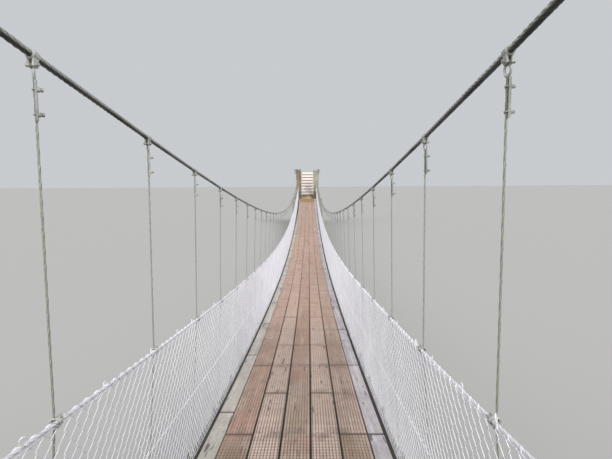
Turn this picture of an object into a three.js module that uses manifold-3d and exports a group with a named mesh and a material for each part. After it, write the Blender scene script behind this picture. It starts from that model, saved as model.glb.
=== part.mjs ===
// Rope suspension footbridge: two wire ropes over short towers carry a boarded deck on hangers.
// Units are millimetres, Z is up, Y runs along the bridge and X across it.
// The origin lies on the ground, under the middle of the span. Right is +X, the far end is +Y.

import * as THREE from 'three';
import { mergeVertices } from 'three/addons/utils/BufferGeometryUtils.js';
import Module from 'manifold-3d';

const wasm = await Module();
wasm.setup();

// Driving dimensions
const BAY = 850;                    // spacing of the hangers and crossbeams
const BAYS = 40;
const HALF_SPAN = (BAY * BAYS) / 2;
const SEAT_GAP = 0.3;               // air between pieces that touch

// Deck: boards on crossbeams, sagging between the abutments
const DECK_MID_Z = 800;             // top of the boards at mid-span
const DECK_RISE = 1208;             // from mid-span up to the last crossbeam
const BOARD_THICK = 38;
const BOARDS_HALF_WIDTH = 516;      // five rows of long boards
const EDGE_INNER_X = 521;           // one narrower board runs along each edge
const EDGE_OUTER_X = 659;
const WEB_HALF_WIDTH = 600;         // thin web that ties the rows of boards together
const WEB_TOP_DEPTH = 26;
const WEB_BOTTOM_DEPTH = 36;
const DECK_END_Y = HALF_SPAN + 190;
const OPEN_JOINT = 2;               // between lengths of deck or netting
const DECK_LENGTHS = 8;
const NET_LENGTHS = 2;              // on each side

// Crossbeams and the stringers that tie them together
const BEAM_WIDTH = 80;
const BEAM_DEPTH = 100;
const BEAM_HALF_LENGTH = 735;
const STRINGER_X = 590;
const STRINGER_WIDTH = 50;
const STRINGER_DEPTH = 60;
const STRINGER_DROP = 20;           // below the underside of the boards

// Main cables and their hangers
const CABLE_RADIUS = 12.5;
const CABLE_ABOVE_MID = 1676;       // above the boards at mid-span
const CABLE_SAG = 1472;
const CABLE_MID_X = 657;
const CABLE_FAR_X = 840;            // the cables spread towards the far tower
const CABLE_NEAR_X = 607;           // and close in a little towards the near one
const FAR_SPREAD_POWER = 6;         // most of the far spread is in the last bays
const NEAR_SPREAD_POWER = 2;
const HANGER_WIDTH = 8;
const HANGER_FOOT_X = 700;

// Handrail cable and the netting below it
const RAIL_RADIUS = 6;
const RAIL_ABOVE_MID = 860;
const RAIL_SAG = 1272;
const RAIL_MID_X = 695;
const RAIL_FAR_X = 673;
const RAIL_NEAR_X = 601;
const HANGER_FROM_RAIL = RAIL_RADIUS + HANGER_WIDTH / 2 + 1;
const NET_THICK = 4;
const NET_FOOT_X = 672;
const NET_BELOW_RAIL = RAIL_RADIUS + 0.6;
const NET_BAR = 24;                 // bars left between the openings that stand for the mesh
const NET_ROWS = 2;                 // of openings, above and below the straining wire
const BAYS_PER_OPENING = 2;
const NET_CUT = 60;                 // depth of the cut through the leaning netting

// Towers: a plinth, a post and a cap on each side of the way, with the cable in a saddle under the cap
const GATE_HALF_WIDTH = 450;        // clear way between the posts
const POST_WIDTH = 340;
const TOWER_Y = DECK_END_Y + 10 + POST_WIDTH / 2;
const PLINTH_HEIGHT = 530;
const PLINTH_OVERHANG = 30;
const CAP_INNER_X = 455;
const CAP_OUTER_X = 965;
const CAP_LENGTH = 400;
const CAP_HEIGHT = 180;
const CAP_ABOVE_CABLE = 24;         // clear height between the cable and the cap
const SADDLE_RADIUS = 300;          // of the cable's centre line over the saddle
const SADDLE_WIDTH = 90;
const SADDLE_DEPTH = 150;           // of the far towers' saddle brackets
const BACKSTAY_ANGLE = THREE.MathUtils.degToRad(40);

// Abutment, stair and anchor blocks
const ABUTMENT_HALF_WIDTH = 1100;
const ABUTMENT_FRONT_Y = HALF_SPAN - 100;
const ABUTMENT_BACK_Y = 19900;
const STEPS = 9;
const RISER = 220;
const GOING = 250;
const STAIR_HALF_WIDTH = 440;
const STAIR_FRONT_Y = TOWER_Y + POST_WIDTH / 2 - 35;
const ANCHOR_Y = 19500;             // where the backstay meets its block
const ANCHOR_WIDTH = 300;
const ANCHOR_FACE = 280;
const ANCHOR_BACK_Y = 19880;

const material = {
  concrete: new THREE.MeshStandardMaterial({ color: 0x8d8a80, roughness: 0.95, metalness: 0 }),
  steps: new THREE.MeshStandardMaterial({ color: 0xcdc2b4, roughness: 0.9, metalness: 0 }),
  post: new THREE.MeshStandardMaterial({ color: 0x9c8270, roughness: 0.95, metalness: 0 }),
  cap: new THREE.MeshStandardMaterial({ color: 0x9a9892, roughness: 0.9, metalness: 0 }),
  boards: new THREE.MeshStandardMaterial({ color: 0x8a7060, roughness: 0.85, metalness: 0 }),
  beam: new THREE.MeshStandardMaterial({ color: 0x5d5347, roughness: 0.9, metalness: 0 }),
  cable: new THREE.MeshStandardMaterial({ color: 0x6f746c, roughness: 0.55, metalness: 0.8 }),
  rail: new THREE.MeshStandardMaterial({ color: 0xc2c4c6, roughness: 0.4, metalness: 0.9 }),
  net: new THREE.MeshStandardMaterial({ color: 0xb9b8be, roughness: 0.45, metalness: 0.8 }),
};

// Curves of the bridge, as functions of the place along it
const deckZ = (y) => DECK_MID_Z + DECK_RISE * (y / HALF_SPAN) ** 2;
const railZ = (y) => DECK_MID_Z + RAIL_ABOVE_MID + RAIL_SAG * (y / HALF_SPAN) ** 2;
const cableZ = (y) => DECK_MID_Z + CABLE_ABOVE_MID + CABLE_SAG * (y / HALF_SPAN) ** 2;
const bayY = (index) => index * BAY - HALF_SPAN;

function cableX(y) {
  const [towerX, power] = y > 0 ? [CABLE_FAR_X, FAR_SPREAD_POWER] : [CABLE_NEAR_X, NEAR_SPREAD_POWER];
  return CABLE_MID_X + (towerX - CABLE_MID_X) * Math.min(Math.abs(y) / HALF_SPAN, 1) ** power;
}

function railX(y) {
  const towerX = y > 0 ? RAIL_FAR_X : RAIL_NEAR_X;
  return RAIL_MID_X + (towerX - RAIL_MID_X) * (y / HALF_SPAN) ** 2;
}

// Height of the straight boards, which touch the curve only at the crossbeams
function boardZ(y) {
  const bay = THREE.MathUtils.clamp(Math.floor((y + HALF_SPAN) / BAY), 0, BAYS - 1);
  const from = bay === 0 ? -DECK_END_Y : bayY(bay);
  const to = bay === BAYS - 1 ? DECK_END_Y : bayY(bay + 1);
  return THREE.MathUtils.lerp(deckZ(from), deckZ(to), (y - from) / (to - from));
}

const END_Z = deckZ(DECK_END_Y);                       // level of the boards between the posts
const SEAT_Z = END_Z - BOARD_THICK - SEAT_GAP;         // top of the abutment
const beamTopZ = (y) => boardZ(y - Math.sign(y) * (BEAM_WIDTH / 2)) - BOARD_THICK - SEAT_GAP;

// Solids
function toSolid(geometry) {
  const bare = geometry.clone();
  bare.deleteAttribute('normal');
  bare.deleteAttribute('uv');
  const merged = mergeVertices(bare, 1e-3);
  return new wasm.Manifold(new wasm.Mesh({
    numProp: 3,
    vertProperties: new Float32Array(merged.attributes.position.array),
    triVerts: new Uint32Array(merged.index.array),
  }));
}

function toGeometry(solid) {
  const mesh = solid.getMesh();
  const geometry = new THREE.BufferGeometry();
  geometry.setAttribute('position', new THREE.BufferAttribute(mesh.vertProperties, 3));
  geometry.setIndex(new THREE.BufferAttribute(mesh.triVerts, 1));
  geometry.computeVertexNormals();
  return geometry;
}

function join(geometries) {
  return toGeometry(geometries.map(toSolid).reduce((whole, piece) => whole.add(piece)));
}

// An outline in the Y, Z plane, given its width across the bridge from x0 to x1
function sideProfile(points, x0, x1) {
  const shape = new THREE.Shape(points.map(([y, z]) => new THREE.Vector2(y, z)));
  const geometry = new THREE.ExtrudeGeometry(shape, { depth: x1 - x0, bevelEnabled: false });
  const turn = new THREE.Matrix4().set(0, 0, 1, x0, 1, 0, 0, 0, 0, 1, 0, 0, 0, 0, 0, 1);
  return geometry.applyMatrix4(turn);
}

// An outline in the X, Z plane, given its length along the bridge about y
function crossProfile(points, y, length) {
  const shape = new THREE.Shape(points.map(([x, z]) => new THREE.Vector2(x, z)));
  const geometry = new THREE.ExtrudeGeometry(shape, { depth: length, bevelEnabled: false });
  return geometry.rotateX(Math.PI / 2).translate(0, y + length / 2, 0);
}

// A bar from y0 to y1 with a bend at each crossbeam. corner(y, right, top) gives its corners' X and Z.
function bentBar(y0, y1, corner) {
  const stations = [y0];
  for (let i = 1; i < BAYS; i += 1) {
    if (bayY(i) > y0 + 1 && bayY(i) < y1 - 1) stations.push(bayY(i));
  }
  stations.push(y1);
  const lengths = stations.length - 1;
  const geometry = new THREE.BoxGeometry(1, 1, 1, 1, lengths, 1);
  const position = geometry.attributes.position;
  for (let i = 0; i < position.count; i += 1) {
    const y = stations[Math.round((position.getY(i) + 0.5) * lengths)];
    const [x, z] = corner(y, position.getX(i) > 0, position.getZ(i) > 0);
    position.setXYZ(i, x, y, z);
  }
  // Its left face is split along the same diagonals as its right one, so a twisted bar stays as thick
  const indices = geometry.index.array;
  const { start, count } = geometry.groups[1];
  for (let i = start; i < start + count; i += 6) {
    const [a, b, d, , c] = indices.slice(i, i + 6);
    indices.set([a, b, c, a, c, d], i);
  }
  return geometry;
}

// A strip of the deck between two widths and two depths below the top of the boards
function deckStrip(y0, y1, x0, x1, topDepth, bottomDepth) {
  return bentBar(y0, y1, (y, right, top) => [right ? x1 : x0, boardZ(y) - (top ? topDepth : bottomDepth)]);
}

// A path straight from point to point, for a rope's section to follow
class RopePath extends THREE.Curve {
  constructor(points) {
    super();
    this.points = points;
  }

  getPoint(t) {
    const place = t * (this.points.length - 1);
    const index = Math.min(Math.floor(place), this.points.length - 2);
    return this.points[index].clone().lerp(this.points[index + 1], place - index);
  }

  getPointAt(u) {
    return this.getPoint(u);
  }

  getTangentAt(u) {
    return this.getTangent(u);
  }
}

function rope(points, radius, sides) {
  const corners = Array.from({ length: sides }, (_, i) => {
    const angle = ((i + 0.5) * 2 * Math.PI) / sides;
    return new THREE.Vector2(radius * Math.cos(angle), radius * Math.sin(angle));
  });
  return new THREE.ExtrudeGeometry(new THREE.Shape(corners), {
    steps: points.length - 1,
    extrudePath: new RopePath(points),
    bevelEnabled: false,
  });
}

function piece(name, geometry, look) {
  const mesh = new THREE.Mesh(geometry, look);
  mesh.name = name;
  return mesh;
}

function block(name, size, place, look) {
  const mesh = piece(name, new THREE.BoxGeometry(...size), look);
  mesh.position.set(...place);
  return mesh;
}

// Route of a main cable over one tower, from the span to its anchor block, at the +Y end
const APPROACH_ANGLE = Math.atan((2 * CABLE_SAG * TOWER_Y) / HALF_SPAN ** 2);
const SADDLE_START_Y = TOWER_Y - SADDLE_RADIUS * Math.sin(APPROACH_ANGLE);
const CREST_Z = cableZ(SADDLE_START_Y) + SADDLE_RADIUS * (1 - Math.cos(APPROACH_ANGLE));
const SADDLE_END_Y = TOWER_Y + SADDLE_RADIUS * Math.sin(BACKSTAY_ANGLE);
const SADDLE_END_Z = CREST_Z - SADDLE_RADIUS * (1 - Math.cos(BACKSTAY_ANGLE));
const ANCHOR_Z = SADDLE_END_Z - (ANCHOR_Y - SADDLE_END_Y) * Math.tan(BACKSTAY_ANGLE);
const CAP_BOTTOM_Z = CREST_Z + CABLE_RADIUS + CAP_ABOVE_CABLE;

// Points of the arc over a tower, at the given distance from the saddle's centre
function saddleArc(radius, steps) {
  return Array.from({ length: steps + 1 }, (_, i) => {
    const angle = THREE.MathUtils.lerp(-APPROACH_ANGLE, BACKSTAY_ANGLE, i / steps);
    return [TOWER_Y + radius * Math.sin(angle), CREST_Z - SADDLE_RADIUS + radius * Math.cos(angle)];
  });
}

// Outline of the room over a saddle, from the cable's underside up to the given height
function saddleRoom(topZ) {
  const arc = saddleArc(SADDLE_RADIUS - CABLE_RADIUS - SEAT_GAP, 6);
  const reach = POST_WIDTH;
  const [firstY, firstZ] = arc[0];
  const [lastY, lastZ] = arc.at(-1);
  return [
    [firstY - reach, firstZ - reach * Math.tan(APPROACH_ANGLE)],
    ...arc,
    [lastY + reach, lastZ - reach * Math.tan(BACKSTAY_ANGLE)],
    [lastY + reach, topZ],
    [firstY - reach, topZ],
  ];
}

function towerRoute() {
  const end = [
    ANCHOR_Y - SEAT_GAP * Math.cos(BACKSTAY_ANGLE),
    ANCHOR_Z + SEAT_GAP * Math.sin(BACKSTAY_ANGLE),
  ];
  return [...saddleArc(SADDLE_RADIUS, 5), end];
}

function mainCable(side) {
  const far = towerRoute().map(([y, z]) => new THREE.Vector3(side * CABLE_FAR_X, y, z));
  const near = towerRoute().map(([y, z]) => new THREE.Vector3(side * CABLE_NEAR_X, -y, z));
  const span = [];
  for (let i = 1; i < BAYS; i += 1) {
    const y = bayY(i);
    span.push(new THREE.Vector3(side * cableX(y), y, cableZ(y)));
  }
  return rope([...near.reverse(), ...span, ...far], CABLE_RADIUS, 8);
}

// A hanger leans from the main cable to the handrail, then drops to the end of its crossbeam
function hanger(side, y) {
  const half = HANGER_WIDTH / 2;
  const top = [cableX(y), cableZ(y)];
  const knee = [railX(y) + HANGER_FROM_RAIL, railZ(y)];
  const foot = [HANGER_FOOT_X, beamTopZ(y) + SEAT_GAP];
  const outer = [top, knee, foot].map(([x, z]) => [side * (x + half), z]);
  const inner = [foot, knee, top].map(([x, z]) => [side * (x - half), z]);
  return crossProfile([...outer, ...inner], y, HANGER_WIDTH);
}

function cableWithHangers(name, side) {
  const hangers = [];
  for (let i = 1; i < BAYS; i += 1) hangers.push(hanger(side, bayY(i)));
  return piece(name, join([mainCable(side), ...hangers]), material.cable);
}

function handrail(name, side) {
  const postFace = TOWER_Y - POST_WIDTH / 2;
  const slope = (2 * RAIL_SAG * postFace) / HALF_SPAN ** 2;
  const reach = postFace - SEAT_GAP - slope * RAIL_RADIUS;
  const stations = [-reach];
  for (let i = 1; i < BAYS; i += 1) stations.push(bayY(i));
  stations.push(reach);
  const points = stations.map((y) => new THREE.Vector3(side * railX(y), y, railZ(y)));
  return piece(name, rope(points, RAIL_RADIUS, 6), material.rail);
}

// Ends of one of several equal lengths of deck or netting
function lengthEnds(index, count) {
  const bays = BAYS / count;
  const y0 = index === 0 ? -DECK_END_Y : bayY(index * bays) + OPEN_JOINT / 2;
  const y1 = index === count - 1 ? DECK_END_Y : bayY((index + 1) * bays) - OPEN_JOINT / 2;
  return [y0, y1];
}

// One length of the deck: five rows of boards, the two edge boards and the web below them
function deckLength(index) {
  const [y0, y1] = lengthEnds(index, DECK_LENGTHS);
  const geometry = join([
    deckStrip(y0, y1, -WEB_HALF_WIDTH, WEB_HALF_WIDTH, WEB_TOP_DEPTH, WEB_BOTTOM_DEPTH),
    deckStrip(y0, y1, -BOARDS_HALF_WIDTH, BOARDS_HALF_WIDTH, 0, BOARD_THICK),
    deckStrip(y0, y1, -EDGE_OUTER_X, -EDGE_INNER_X, 0, BOARD_THICK),
    deckStrip(y0, y1, EDGE_INNER_X, EDGE_OUTER_X, 0, BOARD_THICK),
  ]);
  return piece(`deck_boards_${index + 1}`, geometry, material.boards);
}

// A sheet in the leaning plane of the netting. Its lower and upper edges lie at shares of the netting's
// height, each moved up by a number of millimetres.
function netSheet(side, y0, y1, thick, low, high) {
  return bentBar(y0, y1, (y, right, top) => {
    const footZ = boardZ(y) - BOARD_THICK;
    const height = railZ(y) - NET_BELOW_RAIL - footZ;
    const [share, up] = top ? high : low;
    const place = share + up / height;
    const middle = side * THREE.MathUtils.lerp(NET_FOOT_X, railX(y), place);
    return [middle + (right ? thick : -thick) / 2, footZ + height * place];
  });
}

// A length of netting leans from the handrail to the outer edge of the deck, in a grid of openings
function sideNet(sideName, side, index) {
  const [y0, y1] = lengthEnds(index, NET_LENGTHS);
  let net = toSolid(netSheet(side, y0, y1, NET_THICK, [0, 0], [1, 0]));
  const firstBay = (index * BAYS) / NET_LENGTHS;
  const lastBay = firstBay + BAYS / NET_LENGTHS;
  for (let bay = firstBay; bay < lastBay; bay += BAYS_PER_OPENING) {
    const start = bay === firstBay ? y0 + NET_BAR : bayY(bay) + NET_BAR / 2;
    const next = bay + BAYS_PER_OPENING;
    const stop = next === lastBay ? y1 - NET_BAR : bayY(next) - NET_BAR / 2;
    for (let row = 0; row < NET_ROWS; row += 1) {
      const low = row === 0 ? [0, NET_BAR] : [row / NET_ROWS, NET_BAR / 2];
      const high = row === NET_ROWS - 1 ? [1, -NET_BAR] : [(row + 1) / NET_ROWS, -NET_BAR / 2];
      net = net.subtract(toSolid(netSheet(side, start, stop, NET_CUT, low, high)));
    }
  }
  return piece(`side_net_${sideName}_${index + 1}`, toGeometry(net), material.net);
}

function crossbeam(y) {
  const bottom = beamTopZ(y) - BEAM_DEPTH;
  const outline = [
    [-BEAM_HALF_LENGTH, bottom],
    [BEAM_HALF_LENGTH, bottom],
    [BEAM_HALF_LENGTH, bottom + BEAM_DEPTH],
    [-BEAM_HALF_LENGTH, bottom + BEAM_DEPTH],
  ];
  return crossProfile(outline, y, BEAM_WIDTH);
}

// Crossbeams of one length of the deck, tied together by two stringers
function deckFrame(index) {
  const bays = BAYS / DECK_LENGTHS;
  const first = index === 0 ? 0 : index * bays + 1;
  const last = (index + 1) * bays;
  const y0 = bayY(first) - BEAM_WIDTH / 2;
  const beyond = last === BAYS ? 0 : BAY - BEAM_WIDTH - SEAT_GAP;
  const y1 = bayY(last) + BEAM_WIDTH / 2 + beyond;
  const top = BOARD_THICK + STRINGER_DROP;
  const solids = [];
  for (let i = first; i <= last; i += 1) solids.push(crossbeam(bayY(i)));
  [-1, 1].forEach((side) => {
    const x = side * STRINGER_X - STRINGER_WIDTH / 2;
    solids.push(deckStrip(y0, y1, x, x + STRINGER_WIDTH, top, top + STRINGER_DEPTH));
  });
  return piece(`deck_frame_${index + 1}`, join(solids), material.beam);
}

// One end of the bridge, drawn at +Y; the near end is the same, turned round
function abutment(end) {
  const ledgeZ = beamTopZ(HALF_SPAN) - BEAM_DEPTH - SEAT_GAP;
  const stepY = DECK_END_Y + 5;
  const outline = [
    [ABUTMENT_FRONT_Y, 0],
    [ABUTMENT_BACK_Y, 0],
    [ABUTMENT_BACK_Y, SEAT_Z],
    [stepY, SEAT_Z],
    [stepY, ledgeZ],
    [ABUTMENT_FRONT_Y, ledgeZ],
  ];
  const mass = sideProfile(outline, -ABUTMENT_HALF_WIDTH, ABUTMENT_HALF_WIDTH);
  const depth = POST_WIDTH + 2 * PLINTH_OVERHANG;
  const width = POST_WIDTH + PLINTH_OVERHANG;
  const rise = END_Z - SEAT_Z + PLINTH_HEIGHT;
  const plinths = [-1, 1].map((side) => new THREE.BoxGeometry(width, depth, rise + 100).translate(
    side * (GATE_HALF_WIDTH + width / 2),
    TOWER_Y + PLINTH_OVERHANG,
    SEAT_Z - 100 + (rise + 100) / 2,
  ));
  return piece(`abutment_${end}`, join([mass, ...plinths]), material.concrete);
}

function landing(end) {
  const y0 = DECK_END_Y + 5;
  const y1 = STAIR_FRONT_Y - 5;
  const size = [2 * STAIR_HALF_WIDTH, y1 - y0, BOARD_THICK];
  const place = [0, (y0 + y1) / 2, SEAT_Z + SEAT_GAP + BOARD_THICK / 2];
  return block(`landing_${end}`, size, place, material.boards);
}

function stair(end) {
  const base = SEAT_Z + SEAT_GAP;
  const outline = [[STAIR_FRONT_Y, base]];
  for (let i = 0; i < STEPS; i += 1) {
    const top = END_Z + (i + 1) * RISER;
    outline.push([STAIR_FRONT_Y + i * GOING, top]);
    outline.push([STAIR_FRONT_Y + (i + 1) * GOING, top]);
  }
  outline.push([STAIR_FRONT_Y + STEPS * GOING, base]);
  const geometry = sideProfile(outline.reverse(), -STAIR_HALF_WIDTH, STAIR_HALF_WIDTH);
  return piece(`stair_${end}`, geometry, material.steps);
}

// Post of a tower. Its saddle is a bracket on the outer face, or a slot in the head where the
// cable passes over the post.
function post(name, side, cableAcross) {
  const base = END_Z + PLINTH_HEIGHT + SEAT_GAP;
  const top = CAP_BOTTOM_Z - SEAT_GAP;
  const outerX = GATE_HALF_WIDTH + POST_WIDTH;
  const shaft = new THREE.BoxGeometry(POST_WIDTH, POST_WIDTH, top - base).translate(
    side * (GATE_HALF_WIDTH + POST_WIDTH / 2),
    TOWER_Y,
    (top + base) / 2,
  );
  const x = side * cableAcross - SADDLE_WIDTH / 2;
  const room = toSolid(sideProfile(saddleRoom(CAP_BOTTOM_Z + 10), x - 10, x + SADDLE_WIDTH + 10));
  if (cableAcross < outerX) return piece(name, toGeometry(toSolid(shaft).subtract(room)), material.post);
  const innerX = outerX - 20;
  const bracket = new THREE.BoxGeometry(cableAcross + SADDLE_WIDTH / 2 - innerX, POST_WIDTH - 40, SADDLE_DEPTH)
    .translate(side * (innerX + cableAcross + SADDLE_WIDTH / 2) / 2, TOWER_Y, CREST_Z - SADDLE_DEPTH / 2);
  const bed = toSolid(bracket).subtract(room);
  return piece(name, toGeometry(toSolid(shaft).add(bed)), material.post);
}

function cap(name, side) {
  const size = [CAP_OUTER_X - CAP_INNER_X, CAP_LENGTH, CAP_HEIGHT];
  const place = [(side * (CAP_OUTER_X + CAP_INNER_X)) / 2, TOWER_Y, CAP_BOTTOM_Z + CAP_HEIGHT / 2];
  return block(name, size, place, material.cap);
}

// Block that holds a backstay, its upper face square to the cable
function anchor(name, side, cableAcross) {
  const along = [Math.sin(BACKSTAY_ANGLE), Math.cos(BACKSTAY_ANGLE)];
  const low = [ANCHOR_Y - (along[0] * ANCHOR_FACE) / 2, ANCHOR_Z - (along[1] * ANCHOR_FACE) / 2];
  const high = [ANCHOR_Y + (along[0] * ANCHOR_FACE) / 2, ANCHOR_Z + (along[1] * ANCHOR_FACE) / 2];
  const base = SEAT_Z + SEAT_GAP;
  const outline = [
    [low[0], base],
    [ANCHOR_BACK_Y, base],
    [ANCHOR_BACK_Y, high[1]],
    high,
    low,
  ];
  const x = side * cableAcross - ANCHOR_WIDTH / 2;
  return piece(name, sideProfile(outline, x, x + ANCHOR_WIDTH), material.concrete);
}

function bridgeEnd(end, cableAcross) {
  const group = new THREE.Group();
  const turned = end === 'near' ? -1 : 1;
  group.add(abutment(end), landing(end), stair(end));
  [['left', -turned], ['right', turned]].forEach(([sideName, side]) => {
    group.add(post(`tower_post_${end}_${sideName}`, side, cableAcross));
    group.add(cap(`tower_cap_${end}_${sideName}`, side));
    group.add(anchor(`anchor_block_${end}_${sideName}`, side, cableAcross));
  });
  group.rotation.z = end === 'near' ? Math.PI : 0;
  return group;
}

const bridge = new THREE.Group();
bridge.add(bridgeEnd('far', CABLE_FAR_X), bridgeEnd('near', CABLE_NEAR_X));
[['left', -1], ['right', 1]].forEach(([sideName, side]) => {
  bridge.add(cableWithHangers(`main_cable_${sideName}`, side));
  bridge.add(handrail(`handrail_cable_${sideName}`, side));
  for (let i = 0; i < NET_LENGTHS; i += 1) bridge.add(sideNet(sideName, side, i));
});
for (let i = 0; i < DECK_LENGTHS; i += 1) bridge.add(deckLength(i), deckFrame(i));

export default bridge;
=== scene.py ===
"""Looks of the rope suspension footbridge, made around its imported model.

Every piece is made in its own place, in metres: the far end is at +Y, the right side at +X, the ground at z = 0.
Long pieces are modelled straight and level, and a lattice or a curve then bends them to the bridge's lines.
"""

import logging
import math
import random
from contextlib import contextmanager
from dataclasses import dataclass
from enum import IntEnum
from typing import Callable, Iterator, Sequence

import bpy
from mathutils import Matrix, Vector


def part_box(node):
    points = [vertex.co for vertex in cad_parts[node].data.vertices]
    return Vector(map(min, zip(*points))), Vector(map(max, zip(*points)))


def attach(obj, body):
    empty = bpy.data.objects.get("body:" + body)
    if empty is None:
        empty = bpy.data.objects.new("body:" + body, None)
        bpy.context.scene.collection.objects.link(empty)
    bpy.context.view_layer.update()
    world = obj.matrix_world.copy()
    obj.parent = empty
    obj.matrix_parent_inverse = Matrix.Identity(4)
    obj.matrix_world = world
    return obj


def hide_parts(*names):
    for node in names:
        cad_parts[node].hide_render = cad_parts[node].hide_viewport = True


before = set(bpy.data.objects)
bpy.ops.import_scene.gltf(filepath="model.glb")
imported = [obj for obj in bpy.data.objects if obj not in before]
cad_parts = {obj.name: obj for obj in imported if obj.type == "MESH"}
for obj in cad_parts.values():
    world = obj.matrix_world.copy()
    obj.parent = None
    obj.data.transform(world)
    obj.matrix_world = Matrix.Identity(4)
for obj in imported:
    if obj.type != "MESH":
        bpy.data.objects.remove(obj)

Piece = bpy.types.Object
Socket = bpy.types.NodeSocket
Pair = tuple[float, float]
Triple = tuple[float, float, float]
Colour = Triple
Setting = float | str | Sequence[float]
Input = Socket | float | Sequence[float]
Box = tuple[Sequence[float], Sequence[float]]
FaceTest = Callable[[bpy.types.MeshPolygon], bool]

BODY = "root"
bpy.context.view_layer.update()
SEED = 7
UP = Vector((0.0, 0.0, 1.0))
ACROSS = (1.0, 0.0, 0.0)
ALONG = (0.0, 1.0, 0.0)
QUARTER = math.pi / 2
SHARP_ANGLE = 35.0
WIRE_ANGLE = 80.0
TOUCH = 1e-4
ROW_PITCH = 0.2085
FIRST_ROW_JOINT = -0.3132

log = logging.getLogger("footbridge")


class Place(IntEnum):
    """A side or an end of the bridge, which also tells the direction towards it."""

    @property
    def label(self) -> str:
        """Its name in the names of pieces."""
        return self.name.lower()


class Side(Place):
    """Left and right side of the way, seen from the near end."""

    LEFT = -1
    RIGHT = 1


class End(Place):
    """Near and far end of the bridge."""

    NEAR = -1
    FAR = 1


@dataclass(frozen=True)
class BridgeLine:
    """Curves that the bridge follows: heights and widths at a place y along it."""

    bay: float = 0.85
    bays: int = 40
    deck_mid: float = 0.8
    deck_rise: float = 1.208
    deck_reach: float = 17.19
    board_thick: float = 0.038
    beam_half_width: float = 0.04
    cable_above: float = 1.676
    cable_sag: float = 1.472
    cable_mid_x: float = 0.657
    cable_far_x: float = 0.840
    cable_near_x: float = 0.607
    rail_above: float = 0.860
    rail_sag: float = 1.272
    rail_mid_x: float = 0.695
    rail_far_x: float = 0.673
    rail_near_x: float = 0.601
    knee_from_rail: float = 0.011
    hanger_foot_x: float = 0.700
    net_foot_x: float = 0.672
    joist_shift: float = 0.23

    @property
    def half_span(self) -> float:
        """Distance from mid-span to the last crossbeam."""
        return self.bay * self.bays / 2

    def bay_y(self, index: int) -> float:
        """Place of a crossbeam, counted from the near end."""
        return index * self.bay - self.half_span

    def joist_y(self, index: int) -> float:
        """Place of the joist that follows a crossbeam, where boards meet and are nailed."""
        return self.bay_y(index) + self.joist_shift

    def rise(self, y: float) -> float:
        """Share of a sag that is made up at a place; 1 over the last crossbeam."""
        return (y / self.half_span) ** 2

    def deck(self, y: float) -> float:
        """Height of the curve that the boards' top touches at each crossbeam."""
        return self.deck_mid + self.deck_rise * self.rise(y)

    def board(self, y: float) -> float:
        """Gives the height of the boards' top, straight between crossbeams and on past the last ones.

        Args:
            y: The place along the bridge.

        Returns:
            The height.
        """
        index = min(max(math.floor((y + self.half_span) / self.bay), 0), self.bays - 1)
        start = -self.deck_reach if index == 0 else self.bay_y(index)
        stop = self.deck_reach if index == self.bays - 1 else self.bay_y(index + 1)
        share = (y - start) / (stop - start)
        return self.deck(start) * (1 - share) + self.deck(stop) * share

    def beam_top(self, y: float) -> float:
        """Height of a crossbeam's top, under its lower edge of the boards."""
        return self.board(y - math.copysign(self.beam_half_width, y)) - self.board_thick

    def rail(self, y: float) -> float:
        """Height of the handrail cable."""
        return self.deck_mid + self.rail_above + self.rail_sag * self.rise(y)

    def rail_x(self, y: float) -> float:
        """Distance of the handrail cable from the middle of the way."""
        end = self.rail_far_x if y > 0 else self.rail_near_x
        return self.rail_mid_x + (end - self.rail_mid_x) * self.rise(y)

    def cable(self, y: float) -> float:
        """Height of the main cable."""
        return self.deck_mid + self.cable_above + self.cable_sag * self.rise(y)

    def cable_x(self, y: float) -> float:
        """Gives the distance of the main cable from the middle of the way.

        Args:
            y: The place along the bridge.

        Returns:
            The distance.
        """
        end, power = (self.cable_far_x, 6) if y > 0 else (self.cable_near_x, 2)
        share = min(abs(y) / self.half_span, 1.0)
        return self.cable_mid_x + (end - self.cable_mid_x) * share ** power


@dataclass(frozen=True)
class TowerLine:
    """Where a main cable runs over a tower and down to its anchor block."""

    line: BridgeLine
    tower_y: float = 17.37
    radius: float = 0.3
    steps: int = 10
    backstay: float = math.radians(40)
    anchor_y: float = 19.5

    @property
    def approach(self) -> float:
        """Slope of the cable where it reaches the tower, as an angle."""
        return math.atan(2 * self.line.cable_sag * self.tower_y / self.line.half_span ** 2)

    @property
    def crest(self) -> float:
        """Height of the cable's middle over the tower."""
        start = self.tower_y - self.radius * math.sin(self.approach)
        return self.line.cable(start) + self.radius * (1 - math.cos(self.approach))

    def arc(self) -> list[Pair]:
        """Gives the points of the cable over the saddle.

        Returns:
            Places along the bridge with their heights, from the span towards the anchor.
        """
        points = []
        for i in range(self.steps + 1):
            angle = -self.approach + (self.approach + self.backstay) * i / self.steps
            height = self.crest - self.radius * (1 - math.cos(angle))
            points.append((self.tower_y + self.radius * math.sin(angle), height))
        return points

    @property
    def anchor(self) -> Pair:
        """Place and height where the cable meets its anchor block."""
        y, z = self.arc()[-1]
        return self.anchor_y, z - (self.anchor_y - y) * math.tan(self.backstay)


LINE = BridgeLine()
TOWER = TowerLine(LINE)


def solo(piece: Piece) -> None:
    """Selects one piece alone and makes it the active one.

    Args:
        piece: The piece.
    """
    bpy.ops.object.select_all(action="DESELECT")
    piece.select_set(True)
    bpy.context.view_layer.objects.active = piece


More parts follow.
